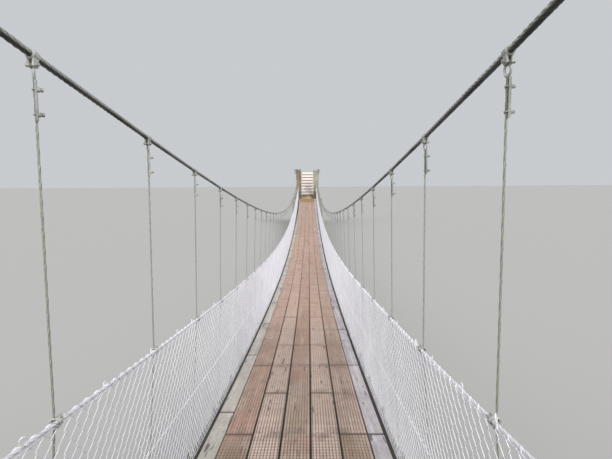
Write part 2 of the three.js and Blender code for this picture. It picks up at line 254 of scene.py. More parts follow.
@contextmanager
def editing(piece: Piece, kind: str = "VERT", wanted: FaceTest | None = None) -> Iterator[None]:
    """Opens a piece in edit mode, with everything or only some faces selected.

    Args:
        piece: The piece to edit.
        kind: What is selected: VERT, EDGE or FACE.
        wanted: Test of the faces to select, by place or normal; without it everything is selected.

    Yields:
        Nothing; edit mode closes afterwards.
    """
    solo(piece)
    if wanted:
        mesh = piece.data
        for part in (mesh.vertices, mesh.edges):
            part.foreach_set("select", [False] * len(part))
        mesh.polygons.foreach_set("select", [wanted(face) for face in mesh.polygons])
        bpy.context.tool_settings.mesh_select_mode = (False, False, True)
    bpy.ops.object.mode_set(mode="EDIT")
    if not wanted:
        bpy.ops.mesh.select_mode(type=kind)
        bpy.ops.mesh.select_all(action="SELECT")
    yield
    bpy.ops.object.mode_set(mode="OBJECT")


def settle(piece: Piece, name: str) -> Piece:
    """Names a piece and puts its place, turn and scale into its mesh.

    Args:
        piece: The piece.
        name: Its name.

    Returns:
        The same piece.
    """
    piece.name = piece.data.name = name
    solo(piece)
    bpy.ops.object.transform_apply(location=True, rotation=True, scale=True)
    return piece


def primitive(add: Callable, **options: Setting) -> Piece:
    """Adds a primitive to start a piece from.

    Args:
        add: Blender's operator that adds it.
        options: Its size, place and number of sides.

    Returns:
        The new piece.
    """
    bpy.ops.object.select_all(action="DESELECT")
    add(**options)
    return settle(bpy.context.object, "start")


def apply_all(piece: Piece) -> Piece:
    """Applies a piece's modifiers in their order.

    Args:
        piece: The piece.

    Returns:
        The same piece.
    """
    solo(piece)
    for modifier in list(piece.modifiers):
        bpy.ops.object.modifier_apply(modifier=modifier.name)
    return piece


def smooth(piece: Piece, angle: float = SHARP_ANGLE) -> Piece:
    """Shades a piece smooth except over sharp edges.

    Args:
        piece: The piece.
        angle: Angle in degrees from which an edge is sharp.

    Returns:
        The same piece.
    """
    solo(piece)
    bpy.ops.object.shade_smooth_by_angle(angle=math.radians(angle))
    return piece


def merge(pieces: Sequence[Piece], name: str) -> Piece:
    """Joins pieces into one.

    Args:
        pieces: The pieces.
        name: Name of what they become.

    Returns:
        The joined piece.
    """
    solo(pieces[0])
    for piece in pieces:
        piece.select_set(True)
    bpy.ops.object.join()
    pieces[0].name = pieces[0].data.name = name
    return pieces[0]


def copy_of(source: Piece, matrix: Matrix) -> Piece:
    """Copies a piece with a mesh of its own and moves that mesh.

    Args:
        source: The piece modelled once.
        matrix: Where the copy goes.

    Returns:
        The copy.
    """
    copy = source.copy()
    copy.data = source.data.copy()
    bpy.context.scene.collection.objects.link(copy)
    copy.data.transform(matrix)
    return copy


def discard(*pieces: Piece) -> None:
    """Deletes pieces that were only patterns for copies."""
    for piece in pieces:
        bpy.data.objects.remove(piece)


def shift(*way: float) -> Matrix:
    """Matrix that moves a piece by x, y and z."""
    return Matrix.Translation(way)


def turn(angle: float, axis: str) -> Matrix:
    """Matrix that turns a piece by an angle about X, Y or Z."""
    return Matrix.Rotation(angle, 4, axis)


def along(start: Vector, direction: Vector) -> Matrix:
    """Matrix that stands a piece modelled up +Z on a start point, pointing another way."""
    return Matrix.Translation(start) @ direction.to_track_quat("Z", "Y").to_matrix().to_4x4()


def block(low: Sequence[float], high: Sequence[float], bevel: float, rounds: int = 2) -> Piece:
    """Makes a block between two corners, with rounded edges.

    Args:
        low: Lowest corner.
        high: Highest corner.
        bevel: Width of the rounding.
        rounds: Steps in the rounding.

    Returns:
        The block.
    """
    middle = [(a + b) / 2 for a, b in zip(low, high)]
    size = [b - a for a, b in zip(low, high)]
    piece = primitive(bpy.ops.mesh.primitive_cube_add, size=1.0, location=middle, scale=size)
    with editing(piece, "EDGE"):
        bpy.ops.mesh.bevel(offset=bevel, segments=rounds, affect="EDGES")
    return piece


def rod(radius: float, start: Vector, stop: Vector, sides: int = 6, rim: float = 0.0) -> Piece:
    """Makes a round or many-sided bar from one point to another.

    Args:
        radius: Radius of the bar.
        start: Middle of its first end.
        stop: Middle of its last end.
        sides: Number of sides.
        rim: Width of the chamfer round its ends.

    Returns:
        The bar.
    """
    way = stop - start
    piece = primitive(bpy.ops.mesh.primitive_cylinder_add, vertices=sides, radius=radius, depth=way.length)
    if rim:
        with editing(piece, wanted=lambda face: abs(face.normal.z) > 0.9):
            bpy.ops.mesh.bevel(offset=rim, segments=1, affect="EDGES")
    piece.data.transform(along((start + stop) / 2, way.normalized()))
    return piece


def pin(radius: float, low: float, high: float, sides: int = 6, rim: float = 0.0,
        at: Sequence[float] = (0, 0)) -> Piece:
    """Makes an upright bar between two heights, at a place across and along; see rod."""
    return rod(radius, Vector((*at, low)), Vector((*at, high)), sides, rim)


def ring(radius: float, wire: float, steps: tuple[int, int], matrix: Matrix,
         scale: Sequence[float] = (1.0, 1.0, 1.0)) -> Piece:
    """Makes a closed ring or oval of wire in the X, Z plane.

    Args:
        radius: Radius of the ring's middle line.
        wire: Radius of the wire.
        steps: Steps round the ring and round the wire.
        matrix: Where the ring goes.
        scale: Stretch along X, Y and Z that turns the ring into an oval.

    Returns:
        The ring.
    """
    piece = primitive(
        bpy.ops.mesh.primitive_torus_add, major_radius=radius, minor_radius=wire, major_segments=steps[0],
        minor_segments=steps[1], rotation=(QUARTER, 0.0, 0.0),
    )
    with editing(piece):
        bpy.ops.transform.resize(value=tuple(scale))
    piece.data.transform(matrix)
    return piece


def open_ring(sides: int, radius: float, **options: Setting) -> Piece:
    """Makes a level ring of edges, the start of a tube; options are its place and turn."""
    return primitive(bpy.ops.mesh.primitive_circle_add, vertices=sides, radius=radius, fill_type="NOTHING", **options)


def tube(radius: float, sides: int, points: Sequence[Vector], stretch: Sequence[float] | None = None) -> Piece:
    """Draws a thin tube by extruding one ring of edges from point to point.

    Args:
        radius: Radius of the tube.
        sides: Number of sides.
        points: Middle of each ring.
        stretch: Scale of a ring that lies level, for a tube that goes up; otherwise the ring stands upright and
            faces the first step.

    Returns:
        The tube, open at both ends.
    """
    piece = open_ring(sides, radius)
    if stretch:
        piece.data.transform(Matrix.Translation(points[0]) @ Matrix.Diagonal((*stretch, 1.0)))
    else:
        way = (points[1] - points[0]) * Vector((1.0, 1.0, 0.0))
        piece.data.transform(along(points[0], way.normalized()))
    with editing(piece, "EDGE"):
        for before, after in zip(points, points[1:]):
            bpy.ops.mesh.extrude_edges_move(TRANSFORM_OT_translate={"value": after - before})
    return piece


def length_of(points: Sequence[Vector]) -> float:
    """Length of a route."""
    return sum((b - a).length for a, b in zip(points, points[1:]))


def repeat(piece: Piece, count: int, step: Sequence[float], joined: bool = False) -> Piece:
    """Repeats a piece in a row.

    Args:
        piece: The piece modelled once.
        count: Number of copies, with the first.
        step: Distance from each copy to the next.
        joined: Whether each copy grows out of the one before.

    Returns:
        The same piece, with its copies.
    """
    array = piece.modifiers.new("repeat", "ARRAY")
    array.count = count
    array.use_relative_offset = False
    array.use_constant_offset = True
    array.constant_offset_displace = step
    array.use_merge_vertices = joined
    array.merge_threshold = TOUCH
    return apply_all(piece)


def close_and_face_out(piece: Piece) -> Piece:
    """Closes a tube's open ends and turns its faces outwards, so that they hold a volume above zero.

    Args:
        piece: The tube.

    Returns:
        The same piece.
    """
    with editing(piece):
        bpy.ops.mesh.fill_holes(sides=0)
        bpy.ops.mesh.select_all(action="SELECT")
        bpy.ops.mesh.normals_make_consistent(inside=False)
    mesh = piece.data
    mesh.calc_loop_triangles()
    corners = [[mesh.vertices[i].co for i in triangle.vertices] for triangle in mesh.loop_triangles]
    if sum(a.dot(b.cross(c)) for a, b, c in corners) < 0:
        with editing(piece):
            bpy.ops.mesh.flip_normals()
    return piece


class Bend:
    """A lattice that bends pieces modelled straight and level to the lines of the bridge."""

    def __init__(self, name: str, low: Vector, high: Vector, goal: Callable[[Vector], Vector]) -> None:
        """Makes the lattice, with one layer of points at each crossbeam.

        Args:
            name: Name of the lattice.
            low: Lowest corner of the straight pieces' room, across and in height.
            high: Highest corner of that room.
            goal: Where a point of the straight room goes.
        """
        layers = LINE.bays + 3
        reach = LINE.half_span + LINE.bay
        bpy.ops.object.select_all(action="DESELECT")
        bpy.ops.object.add(type="LATTICE")
        self.lattice = bpy.context.object
        self.lattice.name = name
        data = self.lattice.data
        data.points_u, data.points_v, data.points_w = 2, layers, 2
        data.interpolation_type_u = data.interpolation_type_v = data.interpolation_type_w = "KEY_LINEAR"
        self.lattice.location = ((low.x + high.x) / 2, 0.0, (low.z + high.z) / 2)
        self.lattice.scale = (high.x - low.x, 2 * reach, high.z - low.z)
        bpy.context.view_layer.update()
        place = self.lattice.matrix_world
        back = place.inverted()
        for point in data.points:
            point.co_deform = back @ goal(place @ point.co)

    def shape(self, piece: Piece) -> Piece:
        """Bends a piece for good.

        Args:
            piece: The straight piece.

        Returns:
            The same piece.
        """
        modifier = piece.modifiers.new("bend", "LATTICE")
        modifier.object = self.lattice
        return apply_all(piece)


@dataclass(frozen=True)
class WireRope:
    """A twisted rope of a few strands, modelled straight and then laid along its route."""

    radius: float
    lay: float
    step: float
    strands: int
    groove: float = 0.82

    def straight(self, length: float) -> Piece:
        """Makes a straight rope up +Z from the origin.

        Args:
            length: Length of the rope.

        Returns:
            The rope, closed at its ends, with its grooves marked by an attribute.
        """
        piece = open_ring(2 * self.strands, self.radius)
        marks = piece.data.attributes.new("groove", "FLOAT", "POINT")
        dips = [float(i % 2) for i in range(2 * self.strands)]
        marks.data.foreach_set("value", dips)
        for vertex, dip in zip(piece.data.vertices, dips):
            vertex.co *= self.groove if dip else 1.0
        turns = max(round(length / self.lay), 1)
        wind(piece, length, turns, max(round(length / turns / self.step), 3), use_normal_calculate=True)
        return close_and_face_out(piece)

    def laid(self, name: str, points: Sequence[Vector]) -> Piece:
        """Makes a rope that follows a route."""
        return settle(lay_along(self.straight(length_of(points)), points), name)


def wind(piece: Piece, length: float, turns: int, steps: int, **options: Setting) -> Piece:
    """Draws an open ring up into a screw.

    Args:
        piece: The ring.
        length: Height of the screw.
        turns: Number of turns.
        steps: Steps in each turn.
        options: More options of the screw.

    Returns:
        The same piece.
    """
    screw = piece.modifiers.new("wind", "SCREW")
    screw.iterations = turns
    screw.screw_offset = length / turns
    screw.angle = 2 * math.pi
    screw.steps = screw.render_steps = steps
    for option, value in options.items():
        setattr(screw, option, value)
    return apply_all(piece)


def lay_along(piece: Piece, points: Sequence[Vector]) -> Piece:
    """Bends a piece modelled up +Z along a route.

    Args:
        piece: The straight piece.
        points: The route.

    Returns:
        The bent piece.
    """
    route = bpy.data.curves.new("route", "CURVE")
    route.dimensions = "3D"
    route.twist_mode = "Z_UP"
    spline = route.splines.new("POLY")
    spline.points.add(len(points) - 1)
    for place, point in zip(spline.points, points):
        place.co = (*point, 1.0)
    guide = bpy.data.objects.new("route", route)
    bpy.context.scene.collection.objects.link(guide)
    modifier = piece.modifiers.new("lay", "CURVE")
    modifier.object = guide
    modifier.deform_axis = "POS_Z"
    apply_all(piece)
    bpy.data.objects.remove(guide)
    bpy.data.curves.remove(route)
    return piece


class Graph:
    """The nodes of a material or of an effect that materials share."""

    tree: bpy.types.NodeTree

    def node(self, kind: str, settings: dict[str, Setting] | None = None, **inputs: Input) -> bpy.types.Node:
        """Adds a node and fills its inputs.

        Args:
            kind: Type of the node, without the ShaderNode before it.
            settings: Values of the node's own options.
            inputs: Values or sockets by input name, with _ for a space, or by i and the input's number.

        Returns:
            The node.
        """
        node = self.tree.nodes.new("ShaderNode" + kind)
        for option, value in (settings or {}).items():
            setattr(node, option, value)
        for label, value in inputs.items():
            numbered = label[0] == "i" and label[1:].isdigit()
            socket = node.inputs[int(label[1:])] if numbered else node.inputs[label.replace("_", " ")]
            if isinstance(value, Socket):
                self.tree.links.new(value, socket)
            else:
                socket.default_value = value
        return node

    def noise(self, place: Socket, **inputs: Input) -> Socket:
        """Gives fractal noise at a place."""
        return self.node("TexNoise", Vector=place, **inputs).outputs["Fac"]

    def math(self, operation: str, first: Socket, second: Socket | float, clamp: bool = False) -> Socket:
        """Combines two values."""
        settings = {"operation": operation, "use_clamp": clamp}
        return self.node("Math", settings, i0=first, i1=second).outputs["Value"]

    def vector(self, operation: str, first: Socket, second: Socket, result: str = "Vector") -> Socket:
        """Combines two vectors."""
        return self.node("VectorMath", {"operation": operation}, i0=first, i1=second).outputs[result]

    def fade(self, value: Socket, start: Socket | float, stop: Socket | float, low: float = 0.0, high: float = 1.0,
             kind: str = "SMOOTHSTEP") -> Socket:
        """Turns a value into one that changes from low to high between start and stop.

        Args:
            value: The value.
            start: Where the change begins.
            stop: Where it ends.
            low: Result before the change.
            high: Result after it.
            kind: SMOOTHSTEP for a soft change, LINEAR for an even one.

        Returns:
            The result.
        """
        node = self.node("MapRange", {"interpolation_type": kind}, Value=value, From_Min=start,
                         From_Max=stop, To_Min=low, To_Max=high)
        return node.outputs["Result"]


class Effect(Graph):
    """A shader node group that several finishes share."""

    def __init__(self, name: str, outputs: Sequence[str], **inputs: float | tuple) -> None:
        """Opens the group with its sockets, Vector first.

        Args:
            name: Name of the group.
            outputs: Names of the values that the group gives.
            inputs: Each other input's first value; a tuple makes a vector.
        """
        self.tree = bpy.data.node_groups.new(name, "ShaderNodeTree")
        for label, value in {"Vector": (0.0, 0.0, 0.0), **inputs}.items():
            kind = "NodeSocketVector" if isinstance(value, tuple) else "NodeSocketFloat"
            self.tree.interface.new_socket(name=label, in_out="INPUT", socket_type=kind).default_value = value
        for label in outputs:
            self.tree.interface.new_socket(name=label, in_out="OUTPUT", socket_type="NodeSocketFloat")
        self.into = self.tree.nodes.new("NodeGroupInput").outputs
        self.out = self.tree.nodes.new("NodeGroupOutput").inputs

    def giving(self, *values: Socket) -> bpy.types.NodeTree:
        """Links the group's outputs.

        Args:
            values: What the outputs give, in their order.

        Returns:
            The finished group.
        """
        for value, socket in zip(values, self.out):
            self.tree.links.new(value, socket)
        return self.tree


def make_blotches() -> bpy.types.NodeTree:
    """Makes soft-edged patches of noise: stains, moss, damp and colour changes.

    Returns:
        The group.
    """
    effect = Effect("blotches", ["Mask"], Scale=2.0, Detail=4.0, Low=0.45, High=0.65)
    place, scale, detail, low, high, *_ = effect.into
    return effect.giving(effect.fade(effect.noise(place, Scale=scale, Detail=detail, Roughness=0.6), low, high))


def make_grain() -> bpy.types.NodeTree:
    """Makes wood grain drawn out along one direction, with fine cracks.

    Returns:
        The group.
    """
    effect = Effect("grain", ["Grain", "Crack", "Height"], Stretch=(55.0, 1.6, 55.0), Shift=0.0)
    place, stretch, moved, *_ = effect.into
    place = effect.vector("ADD", effect.vector("MULTIPLY", place, stretch), moved)
    lines = effect.noise(place, Scale=1.0, Detail=5.0, Roughness=0.65, Distortion=0.6)
    crack = effect.fade(effect.noise(place, Scale=0.55, Detail=2.0), 0.36, 0.30)
    return effect.giving(lines, crack, effect.math("SUBTRACT", lines, crack))


def make_runs() -> bpy.types.NodeTree:
    """Makes streaks that run down a wall, as from rain.

    Returns:
        The group.
    """
    effect = Effect("runs", ["Mask"], Stretch=(9.0, 9.0, 0.7), Low=0.5, High=0.72)
    place, stretch, low, high, *_ = effect.into
    noise = effect.noise(effect.vector("MULTIPLY", place, stretch), Scale=1.0, Detail=4.0, Roughness=0.55)
    return effect.giving(effect.fade(noise, low, high))


def make_pitting() -> bpy.types.NodeTree:
    """Makes sand and small air holes in a cast or rendered face.

    Returns:
        The group.
    """
    effect = Effect("pitting", ["Sand", "Holes", "Height"], Scale=60.0)
    place, scale, *_ = effect.into
    sand = effect.noise(place, Scale=scale, Detail=6.0, Roughness=0.7)
    cells = effect.node("TexVoronoi", Vector=place, Scale=scale).outputs["Distance"]
    holes = effect.fade(cells, 0.2, 0.1)
    return effect.giving(sand, holes, effect.math("SUBTRACT", sand, holes))


def make_lines() -> bpy.types.NodeTree:
    """Makes lines that repeat along one direction, soft at their edges.

    Returns:
        The group.
    """
    effect = Effect("lines", ["Mask"], Way=ALONG, Start=0.0, Pitch=1.0, Width=0.1, Core=0.0)
    place, way, start, pitch, width, core, *_ = effect.into
    moved = effect.math("SUBTRACT", effect.vector("DOT_PRODUCT", place, way, "Value"), start)
    away = effect.math("PINGPONG", moved, effect.math("MULTIPLY", pitch, 0.5))
    return effect.giving(effect.fade(away, width, core))


EFFECTS = {group.name: group for group in
           (make_blotches(), make_grain(), make_runs(), make_pitting(), make_lines())}


class Surface(Graph):
    """The node tree of one material, around its Principled BSDF."""

    def __init__(self, name: str, first: Colour = (0, 0, 0), metallic: float = 0.0, specular: float = 0.5) -> None:
        """Opens the material.

        Args:
            name: Name of the material.
            first: The colour that others are laid over.
            metallic: Metallic value of the whole surface.
            specular: Specular level of the whole surface.
        """
        self.material = bpy.data.materials.new(name)
        self.material.use_nodes = True
        self.tree = self.material.node_tree
        self.shader = self.tree.nodes["Principled BSDF"]
        self.shader.inputs["Metallic"].default_value = metallic
        self.shader.inputs["Specular IOR Level"].default_value = specular
        self.place = self.node("TexCoord").outputs["Object"]
        self.colour: Socket | tuple[float, ...] = (*first, 1.0)

    def effect(self, name: str, **inputs: Input) -> bpy.types.bpy_prop_collection:
        """Places a shared effect on the material's own coordinates and gives its outputs."""
        return self.node("Group", {"node_tree": EFFECTS[name]}, Vector=self.place, **inputs).outputs

    def blotches(self, scale: float, detail: float, low: float, high: float) -> Socket:
        """Gives soft patches: their scale and detail, and the noise where one begins and where it is full."""
        return self.effect("blotches", Scale=scale, Detail=detail, Low=low, High=high)["Mask"]

    def rows(self, start: float, pitch: float, width: float, core: float) -> Socket:
        """Gives lines that run along the bridge: the first's place, their spacing, half width and full part."""
        return self.effect("lines", Way=ACROSS, Start=start, Pitch=pitch, Width=width, Core=core)["Mask"]

    def joints(self, width: float, core: float) -> Socket:
        """Marks the joints between the rows of boards, for painted shade in the gaps between them."""
        return self.rows(FIRST_ROW_JOINT, ROW_PITCH, width, core)

    def attribute(self, name: str) -> Socket:
        """Reads a value that the mesh carries."""
        return self.node("Attribute", {"attribute_name": name}).outputs["Fac"]

    def part(self, vector: Socket, axis: str) -> Socket:
        """Takes the X, Y or Z of a vector."""
        return self.node("SeparateXYZ", Vector=vector).outputs[axis]

    def along_bridge(self, start: float, stop: float, low: float = 0.0, high: float = 1.0) -> Socket:
        """Gives a value that changes from one place along the bridge to another."""
        return self.fade(self.part(self.place, "Y"), start, stop, low, high)

    def rising(self, start: float, stop: float) -> Socket:
        """Gives a mask that grows from one height above the ground to another."""
        return self.fade(self.part(self.place, "Z"), start, stop)

    def underside(self, start: float, stop: float) -> Socket:
        """Marks what faces down, for painted shade on the underside; start and stop are normal heights."""
        normal = self.node("TexCoord").outputs["Normal"]
        return self.fade(self.part(normal, "Z"), start, stop)

    def cover(self, over: Colour, mask: Socket, amount: float = 1.0) -> None:
        """Lays a colour over the colour so far.

        Args:
            over: The upper colour.
            mask: Where it shows.
            amount: How strongly it shows there.
        """
        if amount < 1.0:
            mask = self.math("MULTIPLY", mask, amount, clamp=True)
        mix = self.node("Mix", {"data_type": "RGBA"}, i0=mask, i6=self.colour, i7=(*over, 1.0))
        self.colour = mix.outputs[2]

    def tones(self, value: Socket, colours: Sequence[Colour]) -> None:
        """Makes the first colour one of several, by a value from 0 to 1.

        Args:
            value: The value.
            colours: The colours, evenly spread.
        """
        node = self.node("ValToRGB", Fac=value)
        stops = node.color_ramp.elements
        while len(stops) < len(colours):
            stops.new(0.5)
        for i, colour in enumerate(colours):
            stops[i].position = i / (len(colours) - 1)
            stops[i].color = (*colour, 1.0)
        self.colour = node.outputs["Color"]

    def roughness(self, value: Socket, low: float, high: float) -> None:
        """Sets the roughness between two values by a mask."""
        self.tree.links.new(self.fade(value, 0.0, 1.0, low, high, "LINEAR"), self.shader.inputs["Roughness"])

    def bumps(self, *layers: tuple[Socket, float, float]) -> None:
        """Raises the surface by several heights, one on the other.

        Args:
            layers: Height value, strength and distance in metres of each layer.
        """
        normal = None
        for height, strength, distance in layers:
            node = self.node("Bump", None, Height=height, Strength=strength, Distance=distance)
            if normal is not None:
                self.tree.links.new(normal, node.inputs["Normal"])
            normal = node.outputs["Normal"]
        self.tree.links.new(normal, self.shader.inputs["Normal"])

    def done(self) -> bpy.types.Material:
        """Gives the shader its colour and returns the material."""
        self.tree.links.new(self.colour, self.shader.inputs["Base Color"])
        return self.material


@dataclass(frozen=True)
class MeshGrid:
    """Spacing and first place of the welded mesh's wires, across and along the deck."""

    half: float = 0.512
    wanted: float = 0.0217

    @property
    def across(self) -> tuple[float, float, int]:
        """Describes the wires that run along the bridge: their pitch, the first one's place and their number."""
        count = round(2 * self.half / self.wanted)
        return 2 * self.half / count, -self.half, count + 1

    @property
    def along(self) -> tuple[float, float, int]:
        """Describes the wires that run across the bridge.

        Returns:
            Their pitch, the first one's place and their number.
        """
        count = round(2 * LINE.half_span / self.wanted)
        pitch = 2 * LINE.half_span / count
        return pitch, pitch / 2 - LINE.half_span, count


GRID = MeshGrid()


def dim(colour: Colour, share: float) -> Colour:
    """Darkens a colour to a share of its light."""
    return tuple(share * c for c in colour)


@dataclass(frozen=True)
class Timber:
    """Weathered timber with its grain along one axis and a tone of its own for each board."""

    name: str
    tones: tuple[Colour, Colour, Colour]
    stain: Colour
    algae: Colour
    stretch: Triple = (55.0, 1.6, 55.0)
    tone_shift: float = 37.0
    stain_amount: float = 0.55
    algae_amount: float = 0.35
    speck_amount: float = 0.3
    nailed_amount: float = 0.0
    grid_amount: float = 0.0
    grid_width: Pair = (0.0048, 0.0022)
    streak: Colour | None = None
    walked: Colour | None = None
    blush: Colour | None = None
    far: Colour | None = None
    far_range: Pair = (15.5, 16.1)
    far_amount: float = 0.85
    far_rim: float | None = None

    def grid(self, surface: Surface) -> Socket:
        """Marks the dirt under the wires of the welded mesh, together with the painted shade that the wires cast on the
        boards.

        Args:
            surface: The timber's surface.

        Returns:
            The mask.
        """
        masks = []
        for way, (pitch, start, _) in ((ACROSS, GRID.across), (ALONG, GRID.along)):
            width, core = self.grid_width
            masks.append(surface.effect("lines", Way=way, Start=start, Pitch=pitch, Width=width, Core=core)["Mask"])
        kept = surface.fade(surface.blotches(3.5, 4.0, 0.25, 0.6), 0.0, 1.0, 0.65, 1.0, "LINEAR")
        kept = surface.math("MULTIPLY", kept, surface.along_bridge(-14.5, -8.0, 1.0, 0.35))
        return surface.math("MULTIPLY", surface.math("MAXIMUM", *masks), kept)

    def material(self) -> bpy.types.Material:
        """Builds the material.

        Returns:
            The material.
        """
        surface = Surface(self.name, specular=0.3)
        tone = surface.attribute("tone")
        grain = surface.effect("grain", Stretch=self.stretch, Shift=surface.math("MULTIPLY", tone, self.tone_shift))
        middle = self.tones[1]
        lines = surface.fade(grain["Grain"], 0.35, 0.68, 0.6, 0.0, "LINEAR")
        surface.tones(tone, self.tones)
        surface.cover(dim(middle, 0.5), lines)
        if self.streak:
            worn = surface.effect("runs", Stretch=(26.0, 0.9, 1.0), Low=0.47, High=0.66)["Mask"]
            surface.cover(self.streak, worn, 0.6)
        surface.cover(self.stain, surface.blotches(1.9, 5.0, 0.5, 0.68), self.stain_amount)
        surface.cover(self.algae, surface.blotches(0.7, 3.0, 0.48, 0.66), self.algae_amount)
        if self.blush:
            surface.cover(self.blush, surface.blotches(1.15, 2.0, 0.5, 0.62), 0.4)
        if self.walked:
            near = surface.along_bridge(-13.0, -4.0, 0.6, 0.1)
            rows = surface.math("MULTIPLY", surface.rows(-ROW_PITCH, 2 * ROW_PITCH, 0.125, 0.09), near)
            surface.cover(self.walked, rows)
        dirt = surface.blotches(14.0, 6.0, 0.56, 0.74)
        surface.cover(dim(middle, 0.5), dirt, 0.5)
        surface.cover(dim(middle, 0.35), surface.blotches(85.0, 5.0, 0.54, 0.66), self.speck_amount)
        if self.nailed_amount:
            bands = surface.effect("lines", Start=LINE.joist_y(0), Pitch=LINE.bay, Width=0.15)["Mask"]
            damp = surface.math("MULTIPLY", bands, surface.blotches(7.0, 5.0, 0.44, 0.6))
            surface.cover(dim(middle, 0.3), damp, self.nailed_amount)
        if self.far:
            mask = surface.along_bridge(*self.far_range, 0.0, self.far_amount)
            # A line along the bridge keeps the far colour to a strip; on the left edge boards that strip is painted
            # shade.
            if self.far_rim:
                mask = surface.math("MULTIPLY", mask, surface.rows(self.far_rim, 10.0, 0.066, 0.054))
            surface.cover(self.far, mask)
        # Dirt and painted shade under the wires of the welded mesh, stronger towards the near end.
        if self.grid_amount:
            surface.cover(dim(middle, 0.16), self.grid(surface), self.grid_amount)
            # Painted shade in the gaps between the rows of boards, stronger towards the near end.
            near = surface.along_bridge(-13.0, -3.0, 0.9, 0.3)
            surface.cover(dim(middle, 0.1), surface.math("MULTIPLY", surface.joints(0.013, 0.005), near))
        surface.cover(dim(middle, 0.12), surface.attribute("end"), 0.8)
        surface.cover(dim(middle, 0.18), grain["Crack"], 0.85)
        surface.roughness(grain["Grain"], 0.62, 0.9)
        surface.bumps((grain["Height"], 0.35, 0.002), (dirt, 0.15, 0.002))
        return surface.done()


@dataclass(frozen=True)
class Masonry:
    """Cast or rendered face with sand, rain streaks, moss and patches of another tone."""

    name: str
    base: Colour
    patch: Colour
    streak: Colour
    moss: Colour
    moss_amount: float = 0.5
    streak_amount: float = 0.6
    sand_scale: float = 70.0
    # Colour that takes over with height; the treads and the first step use it as painted shade.
    upper: Colour | None = None
    upper_from: Pair = (2.5, 3.3)

    def material(self) -> bpy.types.Material:
        """Builds the material.

        Returns:
            The material.
        """
        surface = Surface(self.name, self.base, specular=0.25)
        pits = surface.effect("pitting", Scale=self.sand_scale)
        patches = surface.blotches(1.6, 6.0, 0.4, 0.66)
        surface.cover(self.patch, patches)
        if self.upper:
            surface.cover(self.upper, surface.rising(*self.upper_from), 0.8)
        surface.cover(self.streak, surface.blotches(22.0, 6.0, 0.42, 0.7), 0.35)
        runs = surface.effect("runs", Low=0.48, High=0.68)["Mask"]
        surface.cover(self.streak, runs, self.streak_amount)
        moss = surface.blotches(2.6, 8.0, 0.52, 0.62)
        surface.cover(self.moss, moss, self.moss_amount)
        surface.cover(dim(self.base, 0.4), pits["Holes"], 0.5)
        surface.roughness(pits["Sand"], 0.8, 1.0)
        surface.bumps((pits["Height"], 0.3, 0.003), (patches, 0.2, 0.006), (moss, 0.3, 0.004))
        return surface.done()


@dataclass(frozen=True)
class RopeSteel:
    """Twisted wire rope: bright crowns, grooves darkened as painted shade, and patches of dirt along it."""

    name: str
    crown: Colour
    groove: Colour
    dirt: Colour
    metallic: float = 0.55
    rough: Pair = (0.38, 0.7)
    under_shade_amount: float = 0.0
    under_shade_from: Pair = (-0.35, -0.8)

    def material(self) -> bpy.types.Material:
        """Builds the material.

        Returns:
            The material.
        """
        surface = Surface(self.name, self.crown, self.metallic)
        dirt = surface.blotches(5.0, 6.0, 0.42, 0.68)
        surface.cover(self.dirt, dirt, 0.6)
        surface.cover(self.groove, surface.blotches(120.0, 3.0, 0.4, 0.7), 0.35)
        # Painted shade in the grooves between the strands; on hangers the doubled length between the clips is marked
        # too, for its grease and dirt.
        surface.cover(self.groove, surface.attribute("groove"), 0.9)
        # Painted shade on the rope's underside.
        if self.under_shade_amount:
            surface.cover(dim(self.groove, 0.4), surface.underside(*self.under_shade_from), self.under_shade_amount)
        surface.roughness(dirt, *self.rough)
        surface.bumps((surface.effect("pitting", Scale=420.0)["Sand"], 0.25, 0.0006))
        return surface.done()


@dataclass(frozen=True)
class Zinc:
    """Galvanised wire and fittings: cloudy zinc with white bloom and a little rust."""

    name: str
    bright: Colour
    bloom: Colour
    rust: Colour
    rust_amount: float = 0.3
    metallic: float = 0.5
    rough: Pair = (0.35, 0.65)
    near: Colour | None = None
    # Colour of the painted shade on the wires over the gaps between the rows.
    gap_shade: Colour = (0.05, 0.04, 0.033)
    far: Colour | None = None

    def material(self) -> bpy.types.Material:
        """Builds the material.

        Returns:
            The material.
        """
        surface = Surface(self.name, self.bright, self.metallic)
        cloud = surface.blotches(7.0, 5.0, 0.35, 0.65)
        surface.cover(self.bloom, cloud)
        spangle = surface.blotches(160.0, 2.0, 0.45, 0.6)
        surface.cover(dim(self.bright, 0.6), spangle, 0.2)
        surface.cover(self.rust, surface.blotches(3.1, 8.0, 0.58, 0.7), self.rust_amount)
        if self.near:
            surface.cover(self.near, surface.along_bridge(-14.3, -8.5, 0.9, 0.0))
            # Painted shade on the wires over the gaps between the rows, stronger towards the near end.
            near = surface.along_bridge(-13.0, -3.0, 0.9, 0.4)
            surface.cover(self.gap_shade, surface.math("MULTIPLY", surface.joints(0.012, 0.006), near))
        if self.far:
            surface.cover(self.far, surface.along_bridge(15.5, 16.1, 0.0, 0.85))
        surface.roughness(cloud, *self.rough)
        surface.bumps((spangle, 0.1, 0.0004))
        return surface.done()


